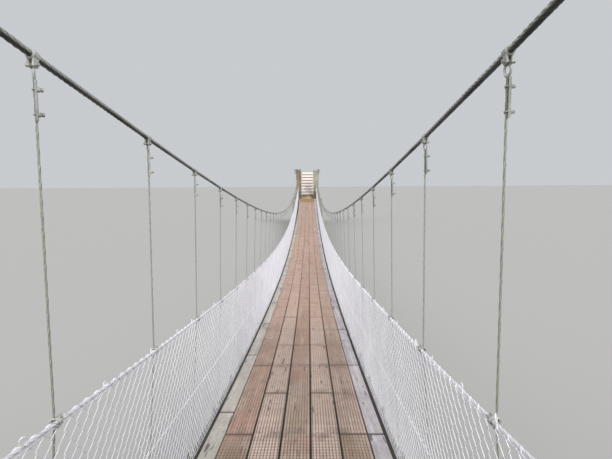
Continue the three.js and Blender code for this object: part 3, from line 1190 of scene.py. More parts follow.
class Finishes:
    """Every finish of the bridge."""

    def __init__(self) -> None:
        """Builds the materials."""
        golden = (0.36, 0.25, 0.12)
        self.boards = Timber(
            "boards", ((0.62, 0.385, 0.255), (0.74, 0.56, 0.49), (0.52, 0.43, 0.31)),
            stain=(0.33, 0.19, 0.13), algae=(0.42, 0.33, 0.20), nailed_amount=0.55, grid_amount=0.8,
            streak=(0.86, 0.69, 0.62), walked=(0.98, 0.80, 0.72), blush=(0.64, 0.36, 0.29), far=golden,
        ).material()
        self.landing = Timber(
            "landing_boards", ((0.50, 0.36, 0.21), (0.44, 0.32, 0.20), (0.36, 0.28, 0.18)),
            stain=(0.20, 0.13, 0.08), algae=(0.33, 0.29, 0.14), stretch=(1.6, 55.0, 55.0), streak=(0.60, 0.47, 0.30),
        ).material()
        self.edges = {
            Side.LEFT: Timber(
                "edge_boards_left", ((0.44, 0.41, 0.385), (0.52, 0.48, 0.46), (0.46, 0.435, 0.39)),
                stain=(0.27, 0.25, 0.22), algae=(0.37, 0.375, 0.31), speck_amount=0.75, streak=(0.62, 0.57, 0.55),
                # The outer part of the left edge boards darkens from y = 4 m to 13 m: painted shade beside the netting.
                far=(0.05, 0.042, 0.035), far_range=(4.0, 13.0), far_amount=0.95, far_rim=-0.634,
            ).material(),
            Side.RIGHT: Timber(
                "edge_boards_right", ((0.41, 0.385, 0.41), (0.50, 0.465, 0.50), (0.455, 0.425, 0.445)),
                stain=(0.24, 0.22, 0.225), algae=(0.32, 0.31, 0.31), stain_amount=0.4, speck_amount=0.5,
                streak=(0.60, 0.56, 0.58),
            ).material(),
        }
        self.beams, self.stringers = (
            Timber(
                name, ((0.085, 0.068, 0.052), (0.11, 0.09, 0.07), (0.14, 0.12, 0.095)),
                stain=(0.05, 0.04, 0.03), algae=(0.10, 0.11, 0.06), stretch=stretch, algae_amount=0.55,
            ).material()
            for name, stretch in (("beams", (2.0, 50.0, 50.0)), ("stringers", (55.0, 1.6, 55.0)))
        )
        # Near-black timber for the fillet strips and the tongues: painted shade between and beside the boards.
        self.shade_fillets = Timber(
            "shade_fillets", ((0.035, 0.030, 0.025), (0.045, 0.038, 0.031), (0.055, 0.048, 0.038)),
            stain=(0.02, 0.017, 0.014), algae=(0.05, 0.055, 0.03),
        ).material()
        self.cable = RopeSteel(
            "cable", crown=(0.58, 0.60, 0.56), groove=(0.06, 0.064, 0.056), dirt=(0.31, 0.33, 0.29), metallic=0.3,
            under_shade_amount=0.95, under_shade_from=(-0.1, -0.6),
        ).material()
        self.hanger = RopeSteel(
            "hanger_rope", crown=(0.56, 0.59, 0.51), groove=(0.15, 0.165, 0.13), dirt=(0.38, 0.41, 0.33),
            metallic=0.15,
        ).material()
        self.rail = RopeSteel(
            "rail", crown=(0.93, 0.93, 0.96), groove=(0.52, 0.51, 0.58), dirt=(0.82, 0.82, 0.86), metallic=0.1,
            under_shade_amount=0.5,
        ).material()
        self.net = Zinc(
            "netting", bright=(0.74, 0.74, 0.82), bloom=(0.87, 0.87, 0.94), rust=(0.52, 0.47, 0.45), rust_amount=0.2,
            metallic=0.1,
        ).material()
        self.mesh = Zinc(
            "welded_mesh", bright=(0.43, 0.315, 0.265), bloom=(0.60, 0.47, 0.415), rust=(0.34, 0.19, 0.11),
            rust_amount=0.6, metallic=0.1, near=(0.16, 0.12, 0.093), far=golden,
        ).material()
        self.fittings = Zinc(
            "fittings", bright=(0.25, 0.265, 0.25), bloom=(0.46, 0.48, 0.45), rust=(0.12, 0.09, 0.065),
            rust_amount=0.6, metallic=0.3,
        ).material()
        self.concrete = Masonry(
            "concrete", base=(0.36, 0.35, 0.315), patch=(0.27, 0.265, 0.235), streak=(0.15, 0.15, 0.125),
            moss=(0.10, 0.13, 0.05), moss_amount=0.55,
        ).material()
        self.plinth = Masonry(
            "plinth", base=(0.17, 0.165, 0.14), patch=(0.12, 0.12, 0.10), streak=(0.06, 0.06, 0.05),
            moss=(0.07, 0.10, 0.035), moss_amount=0.7,
        ).material()
        self.posts = {
            Side.LEFT: Masonry(
                "post_red", base=(0.22, 0.145, 0.105), patch=(0.31, 0.225, 0.17), streak=(0.06, 0.042, 0.032),
                moss=(0.19, 0.18, 0.10), moss_amount=0.35, streak_amount=0.85,
            ).material(),
            Side.RIGHT: Masonry(
                "post_grey", base=(0.33, 0.30, 0.25), patch=(0.47, 0.44, 0.375), streak=(0.115, 0.10, 0.08),
                moss=(0.22, 0.23, 0.13), moss_amount=0.4, streak_amount=0.85,
            ).material(),
        }
        self.cap = Masonry(
            "cap", base=(0.42, 0.41, 0.44), patch=(0.31, 0.30, 0.315), streak=(0.09, 0.085, 0.085),
            moss=(0.10, 0.115, 0.065), moss_amount=0.55, streak_amount=0.8,
        ).material()
        # Treads darken from 2.5 m to 3.3 m up: painted shade that evens out the stronger light on the upper steps.
        self.treads = Masonry(
            "treads", base=(0.95, 0.885, 0.865), patch=(0.92, 0.84, 0.82), streak=(0.66, 0.58, 0.54),
            moss=(0.60, 0.57, 0.49), moss_amount=0.15, streak_amount=0.15, upper=(0.70, 0.655, 0.625),
        ).material()
        # Stair body under the treads: weathered concrete, darkened as painted shade under the nosings.
        self.risers_dirt_and_shade = Masonry(
            "risers_dirt_and_shade", base=(0.27, 0.24, 0.21), patch=(0.19, 0.17, 0.145), streak=(0.10, 0.085, 0.07),
            moss=(0.12, 0.13, 0.06), moss_amount=0.45,
        ).material()
        # The first step turns dark from 2.11 m up: painted shade below the first white tread.
        self.first_step = Masonry(
            "first_step", base=(0.66, 0.50, 0.31), patch=(0.50, 0.37, 0.225), streak=(0.14, 0.10, 0.065),
            moss=(0.22, 0.19, 0.09), moss_amount=0.4, upper=(0.22, 0.16, 0.10), upper_from=(2.11, 2.17),
        ).material()


FINISHES = Finishes()


def hand_over(piece: Piece, slot: str, finish: bpy.types.Material, *nodes: str) -> None:
    """Dresses a finished piece and gives it to the frame.

    Args:
        piece: The piece, in its place.
        slot: Material slot of the record that it belongs to; not used.
        finish: Its material.
        nodes: Plain solids that it stands for.
    """
    piece.data.materials.clear()
    piece.data.materials.append(finish)
    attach(piece, BODY)
    if nodes:
        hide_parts(*nodes)
    log.info("%s: %d faces", piece.name, len(piece.data.polygons))


def add_tone(piece: Piece, tone: float) -> Piece:
    """Marks a board with its own tone.

    Args:
        piece: The board.
        tone: The tone, from 0 to 1.

    Returns:
        The same piece.
    """
    marks = piece.data.attributes.new("tone", "FLOAT", "POINT")
    marks.data.foreach_set("value", [tone] * len(piece.data.vertices))
    return piece


def cut(board: Piece, y: float) -> None:
    """Cuts a straight board's faces across at a place along the bridge."""
    with editing(board):
        bpy.ops.mesh.bisect(plane_co=(0, y, 0), plane_no=ALONG)


def mark_ends(board: Piece, y0: float, y1: float, reach: float) -> Piece:
    """Marks the ends of a straight board, which the finish darkens next to each joint.

    Args:
        board: The board.
        y0: Its near end.
        y1: Its far end.
        reach: How far the mark fades out from an end.

    Returns:
        The board, with the mark as an attribute.
    """
    cut(board, y0 + reach)
    cut(board, y1 - reach)
    marks = board.data.attributes.new("end", "FLOAT", "POINT")
    near = 0.7 * reach
    marks.data.foreach_set("value", [float(min(v.co.y - y0, y1 - v.co.y) < near) for v in board.data.vertices])
    return board


def timbers(name: str, boxes: Sequence[Box], chance: random.Random, bevel: float, tone: float = 1.0) -> Piece:
    """Makes straight timbers from their corners as one piece, each with a tone of its own, at most the last one."""
    return merge([add_tone(block(*box, bevel, 1), tone * chance.random()) for box in boxes], name)


def strips(across: Pair, heights: Pair, gap: float = 0.0) -> list[Box]:
    """Gives the lengths of a strip on both sides of the way, one in each bay.

    Args:
        across: Its inner and outer edge, from the middle of the way.
        heights: Its underside and top.
        gap: What is left open before and after each crossbeam.

    Returns:
        Lowest and highest corner of each length.
    """
    boxes = []
    for side in (-1, 1):
        x0, x1 = sorted(side * x for x in across)
        boxes += [((x0, LINE.bay_y(i) + gap, heights[0]), (x1, LINE.bay_y(i + 1) - gap, heights[1]))
                  for i in range(LINE.bays)]
    return boxes


@dataclass
class Clip:
    """A wire rope clip: a grooved bar and a U-bolt with two nuts, round two runs of rope."""

    bar: Triple = (0.024, 0.012, 0.011)
    saddle: float = 0.002
    bow: float = 0.0075
    wire: float = 0.0022
    nut: float = 0.0046
    nut_height: float = 0.006

    def build(self) -> Piece:
        """Makes the clip round a rope that runs up +Z through the origin.

        Returns:
            The clip.
        """
        wide, thick, high = self.bar
        bar = block((-wide / 2, -thick, -high / 2), (wide / 2, -self.saddle, high / 2), bevel=0.0025, rounds=1)
        bow = ring(self.bow, self.wire, (7, 4), turn(QUARTER, "X"))
        nuts = [rod(self.nut, Vector((x, -thick - self.nut_height, 0.0)), Vector((x, -thick, 0.0)))
                for x in (-self.bow, self.bow)]
        return merge([bar, bow, *nuts], "clip")


@dataclass
class EndPlate:
    """A bolted plate with a socket and a collar, which hold the end of a rope that leaves it up +Z."""

    half: Pair
    faces: Pair
    rounding: tuple[float, int]
    bolts_at: Pair
    bolt: Triple
    foot: float
    socket: Pair
    collar: Pair
    sides: int
    rim: float

    def plate(self) -> Piece:
        """Makes the plate with its four bolts.

        Returns:
            The plate.
        """
        (x, y), (back, front) = self.half, self.faces
        radius, height, rim = self.bolt
        bolts = [pin(radius, front, front + height, rim=rim, at=(i * self.bolts_at[0], j * self.bolts_at[1]))
                 for i in (-1, 1) for j in (-1, 1)]
        return merge([block((-x, -y, back), (x, y, front), *self.rounding), *bolts], "plate")

    def holder(self) -> Piece:
        """Makes the socket with its collar."""
        parts = [pin(radius, self.foot, top, self.sides, self.rim) for radius, top in (self.socket, self.collar)]
        return merge(parts, "holder")


@dataclass
class MainCable:
    """One of the two wire ropes that carry the bridge, from anchor to anchor."""

    side: Side
    rope: WireRope = WireRope(radius=0.0104, lay=0.176, step=0.0220, strands=6)

    def route(self) -> list[Vector]:
        """Gives the rope's route.

        Returns:
            Its points, from the near anchor block to the far one.
        """
        over = [*TOWER.arc(), TOWER.anchor]
        span = [(y, LINE.cable(y)) for y in map(LINE.bay_y, range(1, LINE.bays))]
        places = [*((-y, z) for y, z in reversed(over)), *span, *over]
        return [Vector((self.side * LINE.cable_x(y), y, z)) for y, z in places]

    def build(self) -> None:
        """Makes the rope, which stands for its plain solid together with the hangers."""
        piece = self.rope.laid(f"main_rope_{self.side.label}", self.route())
        hand_over(smooth(piece, WIRE_ANGLE), "cable", FINISHES.cable, f"main_cable_{self.side.label}")


@dataclass
class Handrail:
    """The wire rope handrail of one side, with the wire that laces the netting to it."""

    side: Side
    rope: WireRope = WireRope(radius=0.0062, lay=0.130, step=0.0217, strands=4)
    post_gap: float = 0.009
    lace_from_middle: float = 0.0080
    lace_wire: float = 0.0018
    lace_turns_per_bay: int = 12
    lace_steps: int = 6
    loop_radius: float = 0.012
    loop_shape: Triple = (0.8, 1.0, 1.15)
    loop_turn: float = 0.7
    loop_lean: float = 0.5
    loop_lift: Pair = (0.7, 1.3)
    loop_gap: float = 0.3825
    loop_spread: Pair = (0.6, 1.4)
    plate_play: float = 0.0005

    def route(self) -> list[Vector]:
        """Gives the rope's route.

        Returns:
            Its points, from the near tower post to the far one.
        """
        reach = LINE.deck_reach + self.post_gap
        places = [-reach, *(LINE.bay_y(i) for i in range(1, LINE.bays)), reach]
        return [Vector((self.side * LINE.rail_x(y), y, LINE.rail(y))) for y in places]

    def lacing(self) -> Piece:
        """Makes the wire that winds round the rope along the whole bridge.

        Returns:
            The wire.
        """
        piece = open_ring(4, self.lace_wire, location=(self.lace_from_middle, 0, 0), rotation=(math.pi / 3, 0, 0))
        route = self.route()
        wind(piece, length_of(route), self.lace_turns_per_bay * LINE.bays, self.lace_steps)
        return lay_along(close_and_face_out(piece), route)

    def loops(self) -> list[Piece]:
        """Makes the small loops of wire that stand up from the rope.

        Returns:
            The loops.
        """
        pattern = ring(self.loop_radius, self.lace_wire, (10, 4), Matrix.Identity(4), self.loop_shape)
        chance = random.Random(SEED + self.side)
        made = []
        y = -LINE.half_span + self.loop_gap
        while y < LINE.half_span:
            facing = turn(QUARTER + chance.uniform(-self.loop_turn, self.loop_turn), "Z")
            lean = turn(chance.uniform(-self.loop_lean, self.loop_lean), "X")
            up = self.loop_radius * chance.uniform(*self.loop_lift)
            place = shift(self.side * LINE.rail_x(y), y, LINE.rail(y) + up)
            made.append(copy_of(pattern, place @ lean @ facing))
            y += self.loop_gap * chance.uniform(*self.loop_spread)
        discard(pattern)
        return made

    def sockets(self) -> Piece:
        """Makes the bolted plate and the socket that hold the rope at each tower post.

        Returns:
            Both ends' fittings.
        """
        end = EndPlate(
            half=(0.042, 0.05), faces=(0.0, 0.008), rounding=(0.002, 1), bolts_at=(0.030, 0.036),
            bolt=(0.007, 0.007, 0.0015), foot=0.002, socket=(0.0135, 0.115), collar=(0.021, 0.024), sides=10, rim=0.003,
        )
        plate, holder = end.plate(), end.holder()
        route = self.route()
        made = []
        for tip, inner in ((route[0], route[1]), (route[-1], route[-2])):
            level = Vector((0.0, math.copysign(1.0, inner.y - tip.y), 0.0))
            made.append(copy_of(plate, along(tip - self.plate_play * level, level)))
            made.append(copy_of(holder, along(tip, (inner - tip).normalized())))
        discard(plate, holder)
        return merge(made, f"handrail_sockets_{self.side.label}")

    def build(self) -> None:
        """Makes the rope, its lacing and its sockets."""
        label = self.side.label
        rope = self.rope.laid(f"handrail_rope_{label}", self.route())
        hand_over(smooth(rope, WIRE_ANGLE), "rail", FINISHES.rail, f"handrail_cable_{label}")
        lace = merge([self.lacing(), *self.loops()], f"handrail_lacing_{label}")
        hand_over(smooth(lace, WIRE_ANGLE), "rail", FINISHES.net)
        hand_over(smooth(self.sockets()), "rail", FINISHES.fittings)


@dataclass
class Hangers:
    """The hangers of one side: ropes from the main cable past the handrail to the crossbeams."""

    side: Side
    rope: WireRope = WireRope(radius=0.0042, lay=0.15, step=0.025, strands=3)
    rope_start: float = 0.062
    tail: Triple = (0.0038, 0.062, 0.166)
    tail_at: Pair = (0.0055, 0.0045)
    clip_heights: Pair = (0.086, 0.150)
    clip_offset: float = 0.002
    clip_turn: float = math.radians(55)
    oval: Pair = (0.0095, 0.0035)
    oval_stretch: float = 1.6
    oval_middle: float = 0.045
    sleeve: Triple = (0.0138, 0.016, 0.003)
    ear: tuple[float, float, float, float] = (0.006, 0.012, -0.032, -0.006)
    ears_at: Pair = (-0.0100, 0.0040)
    clamp_bolt: Triple = (0.004, 0.018, -0.024)
    clamp_head: Pair = (0.0066, 0.0055)
    clamp_heads_at: Pair = (-0.0155, 0.0100)
    tie: Pair = (0.0105, 0.0026)
    tie_shape: Triple = (1.45, 1.0, 1.0)
    ties_at: Pair = (-0.0035, 0.0035)
    grips_at: tuple[Pair, ...] = ((-0.017, 0.3), (0.017, math.pi + 0.5))
    grip_size: float = 0.72
    grip_lift: float = 0.001
    eye: Triple = (0.012, 0.0035, 0.018)
    eye_shape: Triple = (1.0, 1.0, 1.2)
    eye_bolt: tuple[tuple[float, float, float, int, float], ...] = (
        (0.018, 0.0, 0.003, 8, 0.0), (0.010, 0.003, 0.010, 6, 0.001), (0.018, -0.1035, -0.1005, 8, 0.0),
        (0.010, -0.112, -0.1035, 6, 0.0), (0.0055, -0.122, -0.112, 6, 0.0),
    )
    foot_clip: float = 0.062
    rope_stop: float = 0.02

    def points(self, y: float) -> tuple[Vector, Vector, Vector]:
        """Gives the places where a hanger is held.

        Args:
            y: Place of its crossbeam.

        Returns:
            Its points at cable, handrail and crossbeam.
        """
        top = Vector((self.side * LINE.cable_x(y), y, LINE.cable(y)))
        knee = Vector((self.side * (LINE.rail_x(y) + LINE.knee_from_rail), y, LINE.rail(y)))
        foot = Vector((self.side * LINE.hanger_foot_x, y, LINE.beam_top(y)))
        return top, knee, foot

    def clamp(self) -> Piece:
        """Makes the clamp on the main cable: a split sleeve with two ears and a bolt below.

        Returns:
            The clamp.
        """
        radius, half, rim = self.sleeve
        sleeve = rod(radius, Vector((0, -half, 0)), Vector((0, half, 0)), sides=10, rim=rim)
        thick, length, low, high = self.ear
        ears = [block((x, -length, low), (x + thick, length, high), bevel=0.002, rounds=1) for x in self.ears_at]
        radius, half, z = self.clamp_bolt
        bolt = rod(radius, Vector((-half, 0, z)), Vector((half, 0, z)))
        radius, thick = self.clamp_head
        heads = [rod(radius, Vector((x, 0, z)), Vector((x + thick, 0, z))) for x in self.clamp_heads_at]
        return merge([sleeve, *ears, bolt, *heads], "clamp")

    def soil(self, rope: Piece, start: Vector) -> None:
        """Marks the doubled length between the clips, which holds grease and dirt, as groove all round.

        Args:
            rope: A hanger's upper rope.
            start: Its upper end.
        """
        for vertex, mark in zip(rope.data.vertices, rope.data.attributes["groove"].data):
            if (vertex.co - start).length < self.tail[2] - self.rope_start:
                mark.value = 1.0

    def top_fitting(self, clip: Piece) -> Piece:
        """Makes what hangs under the clamp: thimble oval, two clips and the rope's turned-back tail.

        Args:
            clip: The clip to copy.

        Returns:
            The fitting.
        """
        facing = turn(self.clip_turn, "Z")
        oval = ring(*self.oval, (12, 5), shift(0, 0, self.oval_middle) @ facing, (1.0, 1.0, self.oval_stretch))
        clips = [copy_of(clip, shift(self.clip_offset, 0, z) @ facing) for z in self.clip_heights]
        piece = merge([oval, pin(*self.tail, at=self.tail_at), *clips], "top_fitting")
        piece.data.transform(turn(math.pi, "X"))
        return piece

    def rail_fitting(self, clip: Piece) -> Piece:
        """Makes the turns of wire that tie a hanger to the handrail, and the small clips on both sides of them.

        Args:
            clip: The clip to copy.

        Returns:
            The fitting.
        """
        out = self.side * LINE.knee_from_rail
        ties = [ring(*self.tie, (9, 4), shift(out / 2, y, 0), self.tie_shape) for y in self.ties_at]
        flat = turn(QUARTER, "X") @ Matrix.Scale(self.grip_size, 4)
        grips = [copy_of(clip, shift(0, y, self.grip_lift) @ flat @ turn(angle, "Z")) for y, angle in self.grips_at]
        return merge([*ties, *grips], "rail_fitting")

    def foot_fitting(self, clip: Piece) -> Piece:
        """Makes the eye bolt through the crossbeam's end, with its washers, nuts and clip.

        Args:
            clip: The clip to copy.

        Returns:
            The fitting.
        """
        radius, wire, height = self.eye
        eye = ring(radius, wire, (10, 4), shift(0, 0, height), self.eye_shape)
        bolt = [pin(*bar) for bar in self.eye_bolt]
        return merge([eye, *bolt, copy_of(clip, shift(0, 0, self.foot_clip))], "foot_fitting")

    def build(self) -> None:
        """Makes every hanger of the side and joins ropes and fittings into two pieces."""
        clip = Clip().build()
        clamp, top_fit = self.clamp(), self.top_fitting(clip)
        rail_fit, foot_fit = self.rail_fitting(clip), self.foot_fitting(clip)
        unit = self.rope.straight(1.0)
        ropes, metal = [], []
        for i in range(1, LINE.bays):
            y = LINE.bay_y(i)
            top, knee, foot = self.points(y)
            lean = (knee - top).normalized()
            start = top + self.rope_start * lean
            for a, b in ((start, knee), (knee, foot + self.rope_stop * UP)):
                length = Matrix.Diagonal((1.0, 1.0, (b - a).length, 1.0))
                ropes.append(copy_of(unit, along(a, (b - a).normalized()) @ length))
            self.soil(ropes[-2], start)
            slope = math.atan(2 * LINE.cable_sag * y / LINE.half_span ** 2)
            hang = UP.rotation_difference(-lean).to_matrix().to_4x4()
            metal += [
                copy_of(clamp, Matrix.Translation(top) @ turn(slope, "X")),
                copy_of(top_fit, Matrix.Translation(top) @ hang),
                copy_of(rail_fit, shift(knee.x - self.side * LINE.knee_from_rail, knee.y, knee.z)),
                copy_of(foot_fit, Matrix.Translation(foot)),
            ]
        discard(clip, clamp, top_fit, rail_fit, foot_fit, unit)
        label = self.side.label
        hand_over(smooth(merge(ropes, f"hanger_ropes_{label}"), WIRE_ANGLE), "cable", FINISHES.hanger)
        hand_over(smooth(merge(metal, f"hanger_fittings_{label}")), "cable", FINISHES.fittings)


@dataclass
class Netting:
    """Chain-link netting of one side, modelled flat and bent to its lean and sag, with its straining wires."""

    side: Side
    wire: float = 0.0015
    height: float = 0.9
    meshes_high: int = 13
    wires_per_bay: int = 24
    lengths: int = 8
    fine_lengths: int = 1
    weave: float = 0.0017
    knuckle: float = 0.16
    hook: float = 0.0016
    foot_wire: Pair = (0.010, 0.0028)
    middle_wire: Pair = (0.45, 0.0022)
    top_wire: Pair = (0.8935, 0.0023)
    wave: float = 0.005
    wave_steps: int = 12
    end_pairs: int = 2
    end_gap: float = 0.004
    under_rail: float = 0.004
    end_bar: float = 0.005
    post_gap: float = 0.0095
    eye: Pair = (0.0085, 0.003)
    tie: float = 0.003
    tie_heights: tuple[float, ...] = (0.06, 0.33, 0.60, 0.85)

    @property
    def reach(self) -> float:
        """Distance from mid-span to the bar at the netting's end."""
        return LINE.half_span + 2 * self.end_pairs * LINE.bay / self.wires_per_bay - self.end_gap

    def bend(self) -> Bend:
        """Makes the lattice that leans the netting and hangs it between handrail and deck.

        Returns:
            The lattice.
        """

        def goal(point: Vector) -> Vector:
            """Gives the place in the hanging net of a point of the flat one.

            Args:
                point: The point in the flat net.

            Returns:
                Its place.
            """
            share = point.z / self.height
            low = LINE.board(point.y) - LINE.board_thick
            high = LINE.rail(point.y) - self.under_rail
            x = LINE.net_foot_x + (LINE.rail_x(point.y) - LINE.net_foot_x) * share
            return Vector((self.side * x + point.x, point.y, low + (high - low) * share))

        return Bend(f"net_{self.side.label}_bend", Vector((-0.1, 0, 0)), Vector((0.1, 0, self.height)), goal)

    def pair(self, fine: bool) -> Piece:
        """Makes two wires of the netting that hook into each other, from foot to top.

        Args:
            fine: Whether the wires have rounded bends and run straight before and behind the net's middle.

        Returns:
            The two wires, in the first places of a bay.
        """
        mesh = self.height / self.meshes_high
        pitch = LINE.bay / self.wires_per_bay
        half = pitch / 2 + self.hook
        bow = mesh * self.knuckle / 2
        out = self.weave
        if fine:
            zigzag = [(out, -half, 0.0), (out, half, mesh / 2 - bow), (-out, half, mesh / 2 + bow),
                      (-out, -half, mesh - bow), (out, -half, mesh)]
        else:
            zigzag = [(out, -half, 0.0), (-out, half, mesh / 2), (out, -half, mesh)]
        wire = tube(self.wire, 4, [Vector(point) for point in zigzag], (1.0, 1.4, 1.0))
        close_and_face_out(repeat(wire, self.meshes_high, (0.0, 0.0, mesh), joined=True))
        other = copy_of(wire, shift(0, 1.5 * pitch, 0) @ turn(math.pi, "Z"))
        wire.data.transform(shift(0, 0.5 * pitch, 0))
        return merge([wire, other], "wires")

    def straining_wire(self, height: float, radius: float, wave: float = 0.0) -> Piece:
        """Makes a wire along the whole net.

        Args:
            height: Its height in the net as modelled flat.
            radius: Its radius.
            wave: How far it dips between its ties.

        Returns:
            The wire.
        """
        steps = self.wave_steps if wave else 1
        points = []
        for i in range(steps + 1):
            dip = wave * (math.cos(4 * math.pi * i / steps) - 1) / 2
            points.append(Vector((0.0, LINE.bay * i / steps, height + dip)))
        wire = repeat(tube(radius, 5, points), LINE.bays, (0, LINE.bay, 0), True)
        wire.data.transform(shift(0, -LINE.half_span, 0))
        for vertex in wire.data.vertices:
            if abs(vertex.co.y) > LINE.half_span - TOUCH:
                vertex.co.y = math.copysign(self.reach, vertex.co.y)
        return close_and_face_out(wire)

    def end_bars(self) -> list[Piece]:
        """Makes the bar through the last meshes at each end, and the eyes that tie it to the post.

        Returns:
            Bars, eyes and ties.
        """
        made = []
        post = LINE.deck_reach + self.post_gap
        radius, wire = self.eye
        for way in (-1, 1):
            y = way * self.reach
            made.append(pin(self.end_bar, self.end_gap, self.height - self.end_gap, 8, 0.001, (0, y)))
            for height in self.tie_heights:
                made.append(ring(radius, wire, (10, 5), shift(0, y, height) @ turn(QUARTER, "X")))
                made.append(rod(self.tie, Vector((0, y + way * radius, height)), Vector((0, way * post, height))))
        return made

    def build(self) -> None:
        """Makes the net in equal lengths, and its straining wires as one more piece."""
        bend = self.bend()
        label = self.side.label
        bays = LINE.bays // self.lengths
        step = 2 * LINE.bay / self.wires_per_bay
        for index in range(self.lengths):
            before = self.end_pairs if index == 0 else 0
            more = self.end_pairs if index in (0, self.lengths - 1) else 0
            panel = repeat(self.pair(index < self.fine_lengths), bays * self.wires_per_bay // 2 + more, (0, step, 0))
            panel.data.transform(shift(0, LINE.bay_y(index * bays) - before * step, 0))
            solo(bend.shape(settle(panel, f"net_panel_{label}_{index + 1}")))
            bpy.ops.object.shade_smooth()
            half = 1 if index < self.lengths // 2 else 2
            hand_over(panel, "net", FINISHES.net, f"side_net_{label}_{half}")
        wires = [
            self.straining_wire(*self.foot_wire), self.straining_wire(*self.middle_wire),
            self.straining_wire(*self.top_wire, wave=self.wave), *self.end_bars(),
        ]
        hand_over(smooth(bend.shape(merge(wires, f"net_strainers_{label}")), WIRE_ANGLE), "net", FINISHES.net)
        discard(bend.lattice)


@dataclass
class Deck:
    """Five rows of long boards under a welded mesh, with a lighter board and a dark fillet along each edge; the fillet
    is a near-black strip of painted shade beside the netting.
    """

    board_width: float = 0.1998
    gaps: tuple[float, ...] = (0.006, 0.011, 0.008, 0.008)
    joint: float = 0.012
    end_reach: float = 0.024
    rounding: float = 0.004
    boards_half: float = 0.516
    edge: Pair = (0.521, 0.634)
    # Dark fillet strip beside each edge board, painted shade.
    fillet: Pair = (0.6345, 0.659)
    fillet_height: Pair = (-0.036, -0.005)
    fillet_rounding: float = 0.003
    bays_per_board: int = 4
    first_joints: tuple[int, ...] = (1, 4, 2, 4, 1)
    short_board_joint: int = 3
    short_board_rows: tuple[int, ...] = (0, 4)
    bays_per_edge: int = 2
    edge_shift: Pair = (0.41, 0.0)
    tip: float = math.radians(0.35)
    skew: float = math.radians(0.03)
    stray: float = 0.0008
    dip: Pair = (-0.002, -0.0007)
    nail: tuple[float, float, float, int, float] = (0.0045, -0.003, 0.0012, 6, 0.001)
    nail_inset: float = 0.045
    nail_from_joist: float = 0.022
    mesh_wire: float = 0.0011
    mesh_lift: Pair = (2.4, 0.8)
    tongue_width: float = 0.014
    tongue_height: Pair = (-0.036, -0.026)
    tongue_tone: float = 0.5

    def bend(self) -> Bend:
        """Makes the lattice that hangs the level deck in its curve."""
        return Bend("deck_bend", Vector((-1, 0, -0.5)), Vector((1, 0, 0.5)),
                    lambda point: Vector((point.x, point.y, LINE.board(point.y) + point.z)))

    def row_x(self, index: int) -> float:
        """Left edge of a row of boards."""
        return index * self.board_width + sum(self.gaps[:index]) - self.boards_half

    def plank(self, x0: float, x1: float, y0: float, y1: float) -> Piece:
        """Makes one level board with a cut at each crossbeam that it crosses.

        Args:
            x0: Left edge.
            x1: Right edge.
            y0: Near end.
            y1: Far end.

        Returns:
            The board, its top at z = 0.
        """
        gap = self.joint / 2
        board = block((x0, y0 + gap, -LINE.board_thick), (x1, y1 - gap, 0.0), bevel=self.rounding)
        for y in map(LINE.bay_y, range(LINE.bays + 1)):
            if y0 + self.joint < y < y1 - self.joint:
                cut(board, y)
        return board

    def row(self, x0: float, x1: float, joints: Sequence[float], chance: random.Random,
            olive: float = math.inf) -> list[Piece]:
        """Makes the boards of one row.

        Args:
            x0: Left edge.
            x1: Right edge.
            joints: Places along the bridge where the boards meet.
            chance: Source of their small differences.
            olive: A place in the board that has the last tone, if there is one.

        Returns:
            The boards.
        """
        ends = [-LINE.deck_reach, *joints, LINE.deck_reach]
        boards = []
        for y0, y1 in zip(ends, ends[1:]):
            board = mark_ends(self.plank(x0, x1, y0, y1), y0, y1, self.end_reach)
            middle = Vector(((x0 + x1) / 2, (y0 + y1) / 2, 0))
            tip = turn(chance.uniform(-self.tip, self.tip), "Y")
            skew = turn(chance.uniform(-self.skew, self.skew), "Z")
            drop = shift(chance.uniform(-self.stray, self.stray), 0, chance.uniform(*self.dip))
            board.data.transform(drop @ Matrix.Translation(middle) @ tip @ skew @ Matrix.Translation(-middle))
            tone = chance.random()
            boards.append(add_tone(board, 1.0 if y0 < olive < y1 else tone))
        return boards

    def planks(self, chance: random.Random) -> Piece:
        """Makes the five rows of boards.

        Args:
            chance: Source of their small differences.

        Returns:
            The boards, level.
        """
        boards = []
        for index, first in enumerate(self.first_joints):
            x0 = self.row_x(index)
            joints = set(range(first, LINE.bays, self.bays_per_board))
            olive = math.inf
            if index in self.short_board_rows:
                joints.add(self.short_board_joint)
                olive = LINE.joist_y(self.short_board_joint) - LINE.bay
            places = [LINE.joist_y(i) for i in sorted(joints)]
            boards += self.row(x0, x0 + self.board_width, places, chance, olive)
        return merge(boards, "deck_planks")

    def welded_mesh(self) -> Piece:
        """Makes the square mesh of thin wires that lies on the boards.

        Returns:
            The mesh, level.
        """
        gap, first, count = GRID.across
        long = tube(self.mesh_wire, 4, [Vector((first, y, 0)) for y in (0.0, LINE.bay)])
        long = close_and_face_out(repeat(long, LINE.bays, (0, LINE.bay, 0), True))
        long.data.transform(shift(0, -LINE.half_span, self.mesh_lift[0] * self.mesh_wire))
        repeat(long, count, (gap, 0, 0))
        gap, first, count = GRID.along
        ends = [Vector((x, first, self.mesh_lift[1] * self.mesh_wire)) for x in (-GRID.half, GRID.half)]
        cross = repeat(close_and_face_out(tube(self.mesh_wire, 4, ends)), count, (0, gap, 0))
        return merge([long, cross], "deck_mesh")

    def nails(self) -> Piece:
        """Makes the nail heads over every joist.

        Returns:
            The nail heads, level.
        """
        pattern = pin(*self.nail)
        from_middle = self.board_width / 2 - self.nail_inset
        made = []
        for i in range(LINE.bays):
            for index in range(len(self.first_joints)):
                middle = self.row_x(index) + self.board_width / 2
                made += [copy_of(pattern, shift(middle + side * from_middle, LINE.joist_y(i) + self.nail_from_joist, 0))
                         for side in (-1, 1)]
        discard(pattern)
        return merge(made, "deck_nails")

